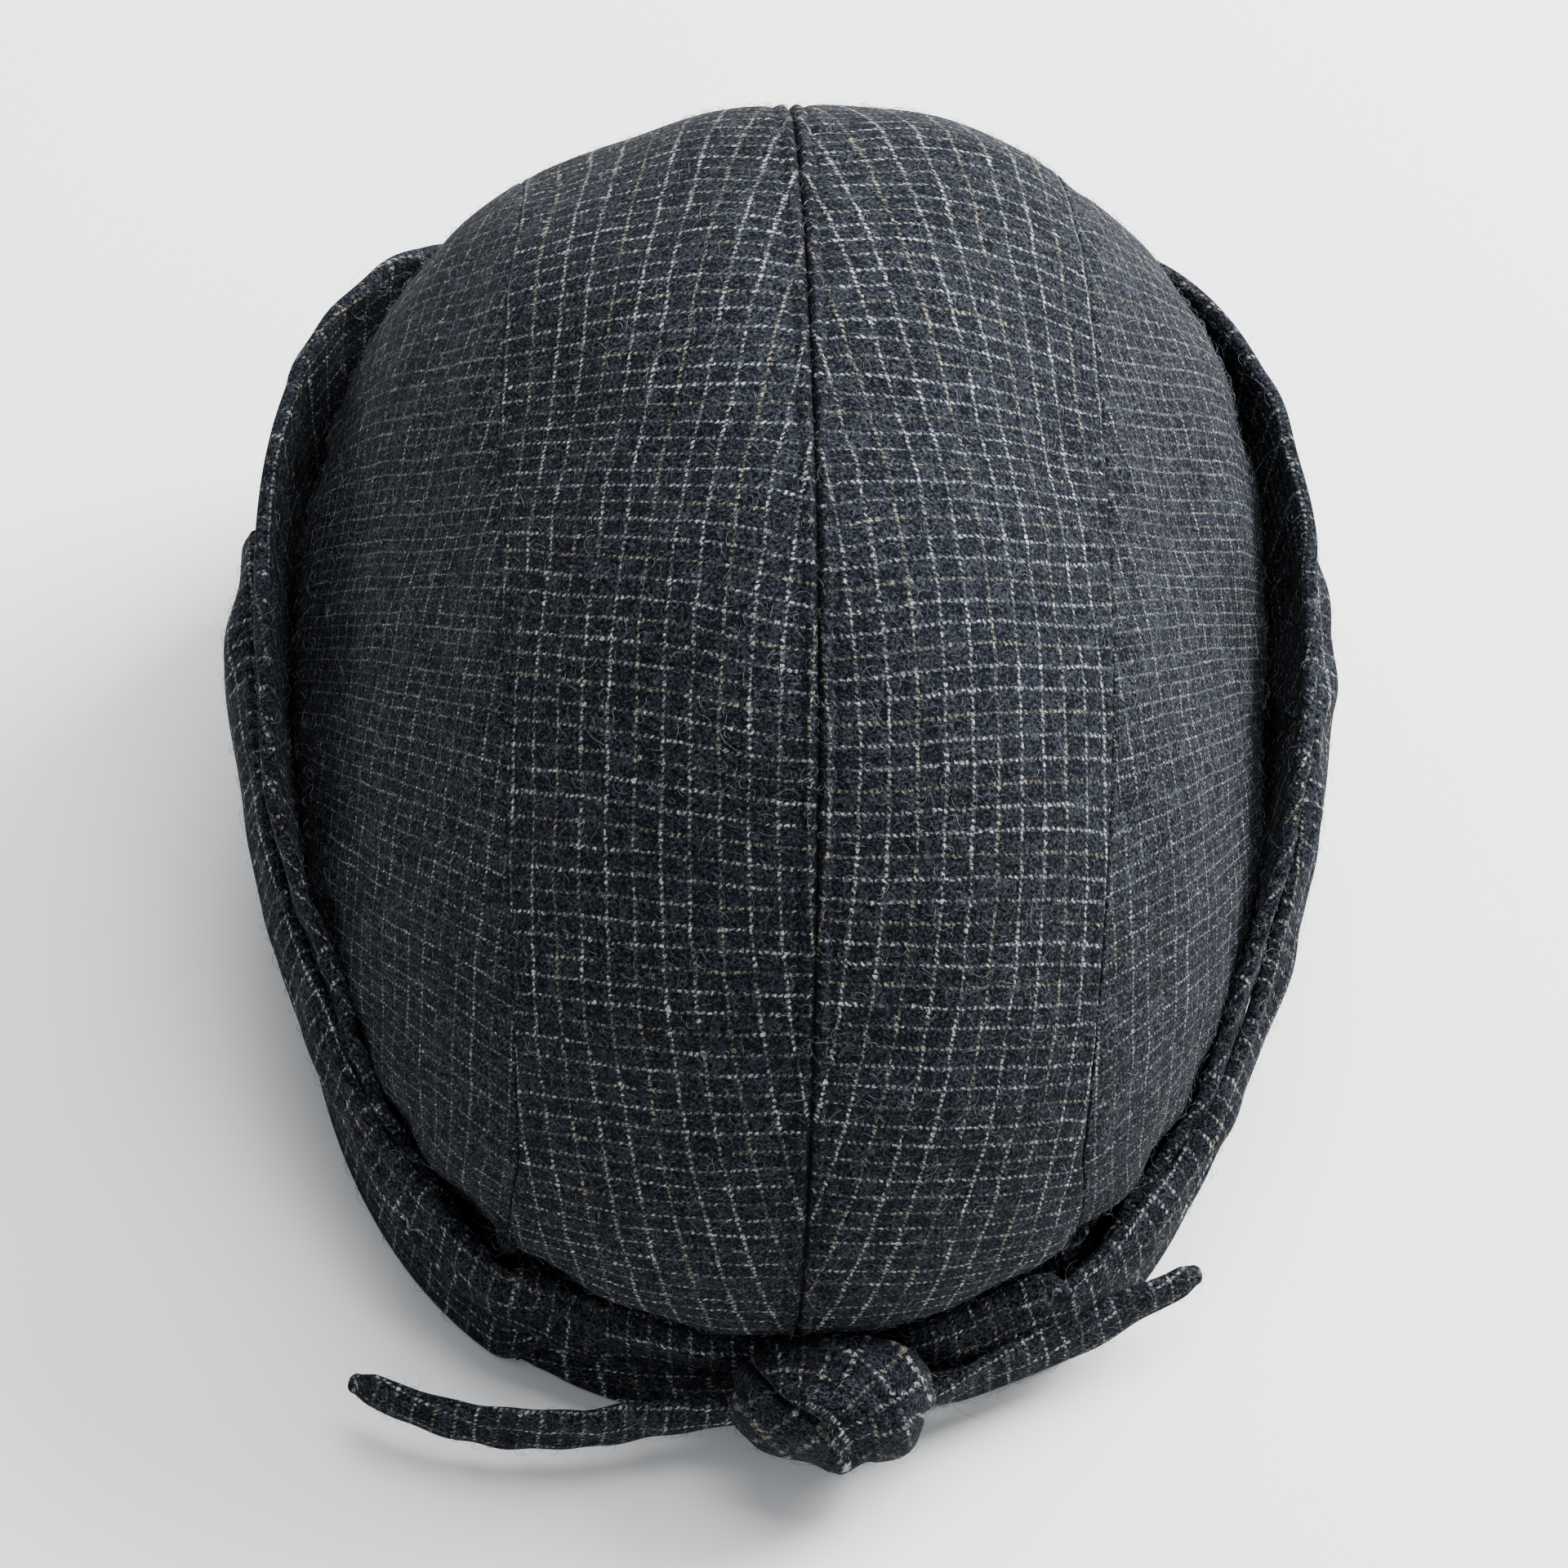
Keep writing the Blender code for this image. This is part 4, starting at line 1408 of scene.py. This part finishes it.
    def side(self, side: Side) -> bpy.types.Object:
        """Build one of the two side panels.

        Args:
            side: which side of the hat it is on.

        Returns:
            The new piece.
        """
        rings, bearings = self.form.seam(self.stations)
        shares = np.linspace(0.0, 1.0, self.strips_side + 1) ** 1.12
        level = rings[:, None] + (1.0 - rings[:, None]) * shares[None]
        points = self.form.point(level, np.broadcast_to(bearings[:, None], level.shape))
        lateral = arc_lengths(points, 1)
        x, y = level * np.cos(bearings)[:, None], level * np.sin(bearings)[:, None]
        seam_x, seam_y = rings * np.cos(bearings), rings * np.sin(bearings)
        start = np.interp(y, seam_y, seam_x)
        run, out = self._length(y), self._arc(x, y, start)
        forward = (0.48 + 0.22 * ease((run + 0.02) / 0.12) + 2.5 * out) * out
        flat = np.stack([out + (0.22 + 1.2 * run) * run + 0.0021, run - forward + 0.0012], axis=2)
        face, normals = self._shape(points, flat, side, lateral)
        height = self._seam_relief(lateral, run, Edge.PLAIN) * ease(lateral[:, -1:] / 0.01)
        height += self._fill(points, side) * ease(lateral / 0.02) - self._shoulder(points, side)
        face = face + normals * height[..., None]
        face[:, 0, 0] += self.mirror_gap
        face[..., 2] = self._off_floor(face[..., 2])
        face = face * (side.value, 1, 1)
        word = f"crown_panel_side_{side.word}"
        # A faint painted shade lies along the side seam.
        # The side panels take the copy of the cloth with painted sheen.
        piece = self.shop.cloth(f"{word}_cloth", (face, flat), self.wall, SIDE_CLOTH_PAINTED_SHEEN, "crown_cloth",
                                (word,), face - self.core, 0.25 * bump(lateral, self.line_width))
        declare_cloth(face)
        return piece


# Flaps, ties, knot and peak


def polar(bearing: Array, reach: Array, z: Array) -> Array:
    """Points at distances from the vertical axis."""
    return np.stack([reach * np.cos(bearing), reach * np.sin(bearing), z], axis=-1)


@dataclass
class EarFlaps:
    """The ear flaps, turned up along the crown, of two layers of cloth."""

    shop: Workshop
    form: TrimForm
    stations: int = 200
    strips: int = 56
    forward_power: float = 1.5
    edge_wave: float = 0.012
    tip_share: float = 0.10
    tip_lift: float = 0.007
    tip_drop: float = 0.001
    soft_long: tuple[float, float] = (0.0007, 0.035)
    soft_short: tuple[float, float] = (0.0004, 0.014)

    def build(self, side: Side) -> bpy.types.Object:
        """Build one flap.

        Args:
            side: which side of the hat it is on.

        Returns:
            The new piece.
        """
        form = self.form
        rows = form.flap_row(np.linspace(0.0, 1.0, self.stations))
        bearing, spread = np.radians(rows[:, :1]), rows[:, 2:3]
        run = np.abs(bearing - bearing[0]) * 0.09
        uneven = 1.0 + self.edge_wave * waves(run, run * 0, 0.05, 21 + side.value)
        height = rows[:, 1:2] * form.flap_height * uneven - form.flap_cloth / 2
        up = np.linspace(0.0, 1.0, self.strips)[None]
        low = form.gap + form.flap_cloth / 2
        along = np.linspace(0.0, 1.0, self.stations)[:, None]
        tip = ease((along - 1.0 + self.tip_share) / self.tip_share) ** 2
        low, height = low + self.tip_lift * tip, height - self.tip_drop * tip
        z = low + (height - low) * up
        turned = bearing + np.radians(rows[:, 3:4]) * (z / height) ** self.forward_power
        reach = form.flap_inner(turned, z, height, spread) + form.flap_cloth / 2
        points = polar(turned, reach, z)
        length, width = arc_lengths(points, 0)[:, :1], arc_lengths(points, 1)
        flat = np.stack([np.broadcast_to(length, z.shape), width], axis=2)
        normals = grid_normals(points, points * (1, 1, 0))
        from_top = (1.0 - up) * height
        rolled = 0.08 * bump(from_top - 0.0015, 0.0018) - 0.16 * bump(from_top - 0.0046, 0.0007)
        wall = form.flap_cloth * (0.96 + rolled)
        soft = np.zeros_like(z)
        for (size, length), seed in ((self.soft_long, 23), (self.soft_short, 25)):
            soft += size * waves(flat[..., 0], flat[..., 1], length, seed + side.value) * up
        points = points + normals * np.maximum(soft, -0.0002)[..., None]
        points = points * (side.value, 1, 1)
        name = f"ear_flap_{side.word}"
        piece = self.shop.band(f"{name}_cloth", (points, flat), wall, FLAP_CLOTH, "flap_cloth", (name,),
                               points * (1, 1, 0))
        declare_cloth(points)
        return piece


@dataclass
class Ties:
    """The two cloth straps round the back and their free ends."""

    shop: Workshop
    form: TrimForm
    stations: int = 280
    strips: int = 15
    end_stations: int = 110
    fullest: float = 0.0049
    inside: float = 0.0030
    roll_in: float = 24.0
    tip_taper: float = 0.62
    long_taper: float = 0.38

    def _turned_map(self, run: Array, width: Array, degrees: float) -> Array:
        """A strap's map, cut at an angle to the threads.

        Args:
            run: places along the strap.
            width: places across it.
            degrees: the angle.

        Returns:
            The map, in metres.
        """
        turn = math.radians(degrees)
        c, s = math.cos(turn), math.sin(turn)
        return np.stack([run * s + width * c, run * c - width * s], axis=2)

    def _slack(self, turned: Array, z: Array, reach: Array) -> Array:
        """How far the strap's upper edge can be drawn in to what lies under it.

        Args:
            turned: bearings of the strap's places.
            z: their heights.
            reach: their distances from the axis.

        Returns:
            A distance for each station.
        """
        edge = slice(self.strips - 1, self.strips)
        under = np.maximum(self.form.crown.reach(turned[:, edge], z[:, edge]),
                           self.form.flap_outer_at(turned[:, edge], z[:, edge]))
        free = (reach[:, edge] - under)[:, 0] - self.form.gap
        return np.clip(-upper_envelope(-free[:, None], 7)[:, 0], 0.0, None)

    def strap(self, side: Side) -> bpy.types.Object:
        """Build one strap, from its root on the flap to the knot.

        Args:
            side: which side of the hat it is on.

        Returns:
            The new piece.
        """
        turned, z, reach = self.form.tie_face(side, self.stations, self.strips)
        reach = reach - self._slack(turned, z, reach)[:, None] * np.linspace(0.0, 1.0, self.strips)
        under = np.maximum(self.form.crown.reach(turned, z), self.form.flap_outer_at(turned, z))
        outer = reach + self.form.tie_cloth
        inner = np.maximum(upper_envelope(under, 1) + 0.00006, outer - self.fullest)
        inner = np.minimum(inner, outer - 0.95 * self.form.tie_cloth)
        points = polar(turned, (inner + outer) / 2, z)
        middle = points.mean(axis=1, keepdims=True)
        points = middle + (points - middle) * (1.0 - self.form.tie_cloth / self.form.tie_width)
        run, width = arc_lengths(points, 0), arc_lengths(points, 1)
        run = np.broadcast_to(run[:, self.strips // 2 : self.strips // 2 + 1], z.shape)
        share = np.linspace(-1.0, 1.0, self.strips)[None]
        normals = grid_normals(points, points * (1, 1, 0))
        ripple = 0.0006 * waves(run, width * 1.6, 0.018, 31 + side.value) * (1.0 - share**4)
        puff = np.maximum(0.0007 * (1.0 - share**2) + ripple, -0.0001)
        points = points + normals * puff[..., None] / 2
        points[..., 2] += 0.0006 * waves(run, run * 0.0, 0.03, 33 + side.value)
        points = points * (side.value, 1, 1)
        name = f"tie_{side.word}"
        flat = self._turned_map(run, width, 4.0 * side.value)
        piece = self.shop.band(f"{name}_cloth", (points, flat), outer - inner + puff, TIE_CLOTH,
                               "tie_cloth", (name,), points * (1, 1, 0))
        declare_cloth(points, 1.5 * self.form.tie_cloth)
        return piece

    def free_end(self, side: Side) -> bpy.types.Object:
        """Build one free end behind the knot.

        Args:
            side: which side of the hat it is on.

        Returns:
            The new piece.
        """
        form = self.form
        on_right = side is Side.RIGHT
        sections = form.end_sections_right if on_right else form.end_sections_left
        length = form.end_lengths[1] if on_right else form.end_lengths[0]
        middle = form.knot_middle()
        share = np.linspace(0.0, 1.0, self.end_stations)
        rows = smooth_read(sections, share * (len(sections) - 1))
        beside = form.knot_size[0] / 2 + form.gap - self.inside
        x = middle[0] + side.value * (beside + rows[:, 0] * (length + self.inside))
        y = middle[1] - rows[:, 1] * form.knot_size[1]
        centres = np.stack([x, y, rows[:, 2] * form.tie_width], axis=1)
        along = np.gradient(centres[:, :2], axis=0)
        along /= np.linalg.norm(along, axis=1, keepdims=True)
        away = np.stack([along[:, 1], -along[:, 0], np.zeros(len(along))], axis=1) * side.value
        roll = self.roll_in * ease(share / 0.35)
        lean = np.radians(form.end_lean - roll + 5.0 * np.sin(share * 5.0 + side.value))[:, None]
        up = away * np.sin(lean) + np.array([0.0, 0.0, 1.0]) * np.cos(lean)
        out = away * np.cos(lean) - np.array([0.0, 0.0, 1.0]) * np.sin(lean)
        narrow = 1.0 - self.tip_taper * ease((share - 0.93) / 0.07) ** 2
        narrow *= 1.0 - self.long_taper * ease((share - 0.45) / 0.55)
        narrow *= 0.97 + 0.03 * np.sin(share * 17.0 + side.value)
        across = np.linspace(-0.5, 0.5, self.strips)
        spread = across[None, :, None] * (form.tie_width - form.tie_cloth) * narrow[:, None, None]
        points = centres[:, None] + up[:, None] * spread
        run, width = arc_lengths(points, 0), arc_lengths(points, 1)
        run = np.broadcast_to(run[:, self.strips // 2 : self.strips // 2 + 1], points.shape[:2])
        bulge = 0.0006 * (1.0 - (2.0 * across[None]) ** 2)
        bulge = bulge + 0.0003 * waves(run, width, 0.012, 41 + side.value)
        points = points + out[:, None] * bulge[..., None]
        name = f"tie_end_{side.word}"
        flat = self._turned_map(run, width + 0.0012, -3.0)
        outward = np.broadcast_to(out[:, None], points.shape)
        piece = self.shop.band(f"{name}_cloth", (points, flat), form.tie_cloth * 0.95, TIE_CLOTH,
                               "tie_cloth", (name,), outward)
        declare_cloth(points, form.tie_cloth)
        return piece


@dataclass
class Knot:
    """The knot: a broad wrap over its top and right side, and a smooth lobe under its edge."""

    shop: Workshop
    form: TrimForm
    rings: int = 144
    columns: int = 224
    view_azimuth: float = -7.0
    view_elevation: float = 60.0
    view_roll: float = 6.0
    edge_slope: float = 0.84
    edge_at: tuple[float, float] = (-0.0072, 0.0006)
    arcs_at: tuple[float, float] = (-0.0065, -0.0085)
    arcs: Table = ((0.0098, 0.0007), (0.0132, 0.0008), (0.0168, 0.0006))
    map_radius: float = 0.015

    def _axes(self) -> tuple[Array, Array]:
        """Two axes across the knot's upper rear face.

        Returns:
            The axis to the right and the one up.
        """
        az, el, roll = (math.radians(a) for a in (self.view_azimuth, self.view_elevation, self.view_roll))
        back = np.array([math.sin(az) * math.cos(el), -math.cos(az) * math.cos(el), math.sin(el)])
        right = np.array([math.cos(az), math.sin(az), 0.0])
        up = np.cross(back, right)
        return right * math.cos(roll) + up * math.sin(roll), up * math.cos(roll) - right * math.sin(roll)

    def build(self) -> bpy.types.Object:
        """Build the knot as one rounded lump with its folds.

        Returns:
            The new piece.
        """
        half = np.array(self.form.knot_size) / 2
        down = np.linspace(0.0, math.pi, self.rings + 1)[:, None]
        turn = np.linspace(0.0, 2.0 * math.pi, self.columns + 1)[None]
        level = np.sin(down)
        unit = np.stack([level * np.cos(turn), level * np.sin(turn), np.cos(down) + 0.0 * turn], axis=2)
        full = np.sign(unit) * np.abs(unit) ** self.form.knot_squareness * half * 0.955
        right, up = self._axes()
        x, y = full @ right, full @ up
        past = self.edge_slope * (x - self.edge_at[0]) + (y - self.edge_at[1])
        past = past / math.hypot(self.edge_slope, 1.0) + 0.0005 * np.sin(x * 520.0)
        radius = np.hypot(x - self.arcs_at[0], y - self.arcs_at[1])
        angle = np.arctan2(y - self.arcs_at[1], x - self.arcs_at[0])
        on_wrap = ease(past / 0.0009)
        back = np.cross(right, up)
        facing = ease(unit @ back / 0.55)
        height = 0.0011 * on_wrap + 0.0006 * (1.0 - on_wrap)
        height += facing * (0.0007 * bump(past - 0.0013, 0.0010) - 0.0019 * bump(past + 0.0003, 0.0006))
        for place, depth in self.arcs:
            height -= facing * on_wrap * depth * bump(radius - place - 0.0007 * np.sin(3.0 * angle), 0.0008)
        height -= 0.0016 * bump(x - 0.0152, 0.0024) * bump(y + 0.0025, 0.0012)
        height += 0.0016 * bump(x - 0.0012, 0.0030) * bump(y + 0.0098, 0.0030)
        height += 0.0004 * waves(x, y + full[..., 1] * 0.5, 0.008, 51)
        places = self.shop.place(self.form.knot_middle() + full + unit * height[..., None])
        wrap_map = np.stack([radius + 0.0009, angle * self.map_radius], axis=2)
        lobe_map = np.stack([0.5 * x + 0.4 * y + 0.0537, 0.5 * y - 0.4 * x + 0.0018], axis=2)
        bm, where = self.shop.grid(places, wrap_map)
        chart = bm.loops.layers.uv["cloth"]
        for face in bm.faces:
            corners = [where[vert.index] for vert in face.verts]
            wrapped = np.mean([past[corner] for corner in corners]) > 0.0
            widest = max(angle[corner] for corner in corners)
            for loop in face.loops:
                corner = where[loop.vert.index]
                spot = (wrap_map if wrapped else lobe_map)[corner].copy()
                if wrapped and widest - angle[corner] > math.pi:
                    spot[1] += 2.0 * math.pi * self.map_radius
                loop[chart].uv = spot
        self.shop.close(bm)
        piece = self.shop.keep("knot_cloth", bm, TIE_CLOTH.material(), "tie_cloth", ("knot",))
        return piece


@dataclass
class FrontPeak:
    """The short stiffened peak in front."""

    shop: Workshop
    form: TrimForm
    stations: int = 150
    strips: int = 44
    clearance_deg: float = 1.5
    end_share: float = 0.04
    fullness: float = 0.75
    dip: float = 0.75
    dip_power: float = 1.5
    inset: float = 0.0014
    stitch_rows: tuple[float, ...] = (0.004, 0.011, 0.018, 0.025)
    stitch_width: float = 0.0007

    def build(self) -> bpy.types.Object:
        """Build the peak with its rows of topstitching.

        Returns:
            The new piece.
        """
        form = self.form
        half_span = math.radians(90.0 - form.flap_sections[0][0] - self.clearance_deg)
        share = np.linspace(-1.0, 1.0, self.stations)[:, None]
        bow = 1.0 - share**2
        base = form.peak_lift + form.peak_arch * bow
        depth = form.peak_depth * np.maximum(bow, self.end_share) ** self.fullness - form.peak_cloth / 2
        out = np.linspace(0.0, 1.0, self.strips)[None]
        z = base + (form.peak_lift - base) * self.dip * out**self.dip_power
        bearing = np.broadcast_to(math.pi / 2 + share * half_span, z.shape)
        root = form.crown.reach(bearing[:, :1], base - form.peak_cloth / 2) + form.gap
        points = polar(bearing, root + self.inset + (depth - self.inset) * out, z)
        distance = depth * (1.0 - out)
        rows = sum(bump(distance - place, self.stitch_width) for place in self.stitch_rows)
        wall = form.peak_cloth * (0.92 - 0.17 * rows * (depth > 0.012))
        flat = np.stack([points[..., 0], points[..., 1]], axis=2)
        up = np.broadcast_to(np.array([0.0, 0.0, 1.0]), points.shape)
        piece = self.shop.band("front_peak_cloth", (points, flat), wall, PEAK_CLOTH, "peak_cloth",
                               ("front_peak",), up)
        declare_cloth(points)
        return piece


# Nap


@dataclass(frozen=True)
class NapPatch:
    """How many loose fibres stand on one kind of piece, and which random draw places them."""

    count: int
    slot: str
    seed: int


CENTRE_NAP = NapPatch(3000, "crown_cloth", 0)
SIDE_NAP = NapPatch(2600, "crown_cloth", 10)
FLAP_NAP = NapPatch(1600, "flap_cloth", 20)
TIE_NAP = NapPatch(700, "tie_cloth", 30)
END_NAP = NapPatch(260, "tie_cloth", 40)
KNOT_NAP = NapPatch(150, "tie_cloth", 50)


@dataclass
class LooseNap:
    """Loose curled wool fibres that stand on the cloth."""

    shop: Workshop
    radius: float = 0.000036
    steps: int = 6
    curl: float = 0.75
    tallest: float = 0.0007
    settle: float = 0.7
    lowest: float = 0.0002
    tip: float = 0.45

    def _samples(self, piece: bpy.types.Object, count: int, rng: np.random.Generator,
                 middle: Array | None) -> Grid:
        """Random places on a piece.

        Args:
            piece: the piece.
            count: how many places.
            rng: the random draw.
            middle: a point that all the places face away from, or none.

        Returns:
            The places and the piece's normals there.
        """
        graph = bpy.context.evaluated_depsgraph_get()
        mesh = piece.evaluated_get(graph).to_mesh()
        mesh.calc_loop_triangles()
        verts = np.empty(len(mesh.vertices) * 3)
        mesh.vertices.foreach_get("co", verts)
        verts = verts.reshape(-1, 3)
        tris = np.empty(len(mesh.loop_triangles) * 3, dtype=np.int32)
        mesh.loop_triangles.foreach_get("vertices", tris)
        tris = tris.reshape(-1, 3)
        a, b, c = verts[tris[:, 0]], verts[tris[:, 1]], verts[tris[:, 2]]
        cross = np.cross(b - a, c - a)
        area = np.linalg.norm(cross, axis=1)
        normals = cross / np.maximum(area[:, None], 1e-15)
        if middle is not None:
            facing = ((a - middle) * normals).sum(axis=1) > 0.0
            area = area * facing
        chosen = rng.choice(len(area), size=count, p=area / area.sum())
        r1, r2 = np.sqrt(rng.random(count)), rng.random(count)
        spots = (1 - r1)[:, None] * a[chosen]
        spots = spots + (r1 * (1 - r2))[:, None] * b[chosen] + (r1 * r2)[:, None] * c[chosen]
        piece.evaluated_get(graph).to_mesh_clear()
        return spots, normals[chosen]

    def grow(self, name: str, piece: bpy.types.Object, patch: NapPatch, number: int = 0,
             middle: Array | None = None) -> bpy.types.Object:
        """Grow curled fibres on a piece.

        Args:
            name: the new piece's name.
            piece: the cloth that the fibres stand on.
            patch: how many fibres, their slot and their random draw.
            number: which piece of its kind it is.
            middle: a point that the fibres face away from, or none.

        Returns:
            The fibres, as one piece.
        """
        rng = np.random.default_rng(SEED * 100 + patch.seed + number)
        count = patch.count
        spots, normals = self._samples(piece, count, rng, middle)
        across = np.cross(normals, rng.normal(size=(count, 3)))
        across /= np.maximum(np.linalg.norm(across, axis=1, keepdims=True), 1e-12)
        heading = across + normals * rng.uniform(0.1, 0.9, (count, 1))
        heading /= np.linalg.norm(heading, axis=1, keepdims=True)
        spin = normals * rng.normal(0.0, 1.0, (count, 1)) + across * rng.normal(0.0, 0.35, (count, 1))
        step = rng.gamma(3.0, 0.00013, (count, 1)) + 0.00018
        at = spots - normals * 0.0001
        path = [at]
        for _ in range(self.steps):
            at = at + heading * step
            heading = heading + np.cross(spin, heading) * self.curl
            height = ((at - spots) * normals).sum(axis=1, keepdims=True)
            heading -= normals * np.clip(height / self.tallest - 0.35, -0.35, 1.2) * self.settle
            heading /= np.linalg.norm(heading, axis=1, keepdims=True)
            path.append(at)
        path = np.stack(path, axis=1)
        path[..., 2] = np.maximum(path[..., 2], self.lowest)
        curve = bpy.data.curves.new(name, "CURVE")
        curve.dimensions = "3D"
        curve.bevel_depth = self.radius
        curve.bevel_resolution = 0
        curve.use_fill_caps = True
        taper = np.linspace(1.0, self.tip, self.steps + 1)
        flat = np.ones((self.steps + 1, 4))
        for line in path:
            spline = curve.splines.new("POLY")
            spline.points.add(self.steps)
            flat[:, :3] = line
            spline.points.foreach_set("co", flat.ravel())
            spline.points.foreach_set("radius", taper)
        holder = bpy.data.objects.new(name, curve)
        mesh = bpy.data.meshes.new_from_object(holder)
        bpy.data.objects.remove(holder)
        mesh.name = name
        return self.shop.keep_mesh(name, mesh, NAP_FIBRE.material(), patch.slot)


# Stage


@dataclass(frozen=True)
class SoftLamp:
    """A square lamp that looks at the hat."""

    name: str
    place: Spot
    size: float
    energy: float
    target: Spot = (0.0, 0.0, 0.08)

    def hang(self) -> None:
        """Put the lamp in the scene."""
        light = bpy.data.lights.new(self.name, "AREA")
        light.shape = "SQUARE"
        light.size = self.size
        light.energy = self.energy
        lamp = bpy.data.objects.new(self.name, light)
        bpy.context.scene.collection.objects.link(lamp)
        lamp.location = self.place
        towards = Vector(self.target) - Vector(self.place)
        lamp.rotation_euler = towards.to_track_quat("-Z", "Y").to_euler()


@dataclass
class Studio:
    """A pale floor, soft light and the camera, above and behind the hat."""

    floor_size: float = 4.0
    room_colour: Colour = (0.93, 0.96, 1.0, 1.0)
    room_strength: float = 0.58
    lamps: tuple[SoftLamp, ...] = (
        SoftLamp("key", (1.05, 0.66, 0.98), 0.8, 84.0),
        SoftLamp("top", (0.20, 0.60, 1.7), 1.2, 46.0),
    )
    aim: Spot = (-0.006, -0.0663, 0.135)
    azimuth: float = -7.0
    elevation: float = 60.0
    roll: float = 6.0
    distance: float = 1.2
    lens: float = 165.44

    def floor(self) -> None:
        """A plain pale floor."""
        bm = bmesh.new()
        bmesh.ops.create_grid(bm, x_segments=1, y_segments=1, size=self.floor_size)
        mesh = bpy.data.meshes.new("studio_floor")
        bm.to_mesh(mesh)
        bm.free()
        mesh.materials.append(PALE_FLOOR.material())
        ground = bpy.data.objects.new("studio_floor", mesh)
        bpy.context.scene.collection.objects.link(ground)

    def lights(self) -> None:
        """Soft light from above, a little stronger from the front right."""
        world = bpy.data.worlds.new("pale_room")
        world.use_nodes = True
        back = world.node_tree.nodes["Background"]
        back.inputs["Color"].default_value = self.room_colour
        back.inputs["Strength"].default_value = self.room_strength
        bpy.context.scene.world = world
        for lamp in self.lamps:
            lamp.hang()

    def camera(self) -> None:
        """The camera at the photograph's angle."""
        az, el, roll = (math.radians(a) for a in (self.azimuth, self.elevation, self.roll))
        back = Vector((math.sin(az) * math.cos(el), -math.cos(az) * math.cos(el), math.sin(el)))
        right = Vector((math.cos(az), math.sin(az), 0.0))
        up = back.cross(right)
        turned_right = right * math.cos(roll) + up * math.sin(roll)
        turned_up = up * math.cos(roll) - right * math.sin(roll)
        data = bpy.data.cameras.new("photo_camera")
        data.sensor_width = 36.0
        data.lens = self.lens
        camera = bpy.data.objects.new("photo_camera", data)
        bpy.context.scene.collection.objects.link(camera)
        frame = Matrix((turned_right, turned_up, back)).transposed().to_4x4()
        frame.translation = Vector(self.aim) + back * self.distance
        camera.matrix_world = frame
        bpy.context.scene.camera = camera


def frame_offset(form: CrownForm) -> Array:
    """Where the crown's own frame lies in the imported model, from the boxes of its centre panels.

    Args:
        form: the crown's form, in its own frame.

    Returns:
        The way from the crown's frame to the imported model's.
    """
    left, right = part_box("crown_panel_centre_left"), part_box("crown_panel_centre_right")
    rings = np.ones(181)
    outline = form.point(rings, np.linspace(-math.pi / 2, math.pi / 2, 181))
    upper = form.point(np.linspace(0.0, 1.0, 400), np.full(400, math.pi / 2))
    lower = form.point(np.linspace(0.0, 1.0, 400), np.full(400, -math.pi / 2))
    front = max(outline[:, 1].max(), upper[:, 1].max())
    back = min(outline[:, 1].min(), lower[:, 1].min())
    own = (front + back) / 2
    y = (left[0].y + right[1].y) / 2
    x = (left[0].x + right[1].x) / 2
    return np.array([x, y - own, 0.0])


def main() -> None:
    """Build the hat and its stage."""
    logging.basicConfig(level=logging.INFO, format="%(message)s")
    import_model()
    crown = CrownForm()
    trim = TrimForm(crown)
    shop = Workshop(frame_offset(crown))
    panels = CrownPanels(shop, crown, trim)
    flaps, ties = EarFlaps(shop, trim), Ties(shop, trim)
    nap = LooseNap(shop)
    core = np.array([0.0, shop.offset[1], 0.05])
    for number, side in enumerate(Side):
        centre, outer = panels.centre(side), panels.side(side)
        flap, strap, end = flaps.build(side), ties.strap(side), ties.free_end(side)
        nap.grow(f"nap_centre_{side.word}", centre, CENTRE_NAP, number, core)
        nap.grow(f"nap_side_{side.word}", outer, SIDE_NAP, number, core)
        nap.grow(f"nap_flap_{side.word}", flap, FLAP_NAP, number)
        nap.grow(f"nap_tie_{side.word}", strap, TIE_NAP, number)
        nap.grow(f"nap_end_{side.word}", end, END_NAP, number)
    knot = Knot(shop, trim).build()
    nap.grow("nap_knot", knot, KNOT_NAP)
    FrontPeak(shop, trim).build()
    studio = Studio()
    studio.floor()
    studio.lights()
    studio.camera()
    LOG.info("%d pieces made", len(shop.made))


if __name__ == "__main__":
    main()
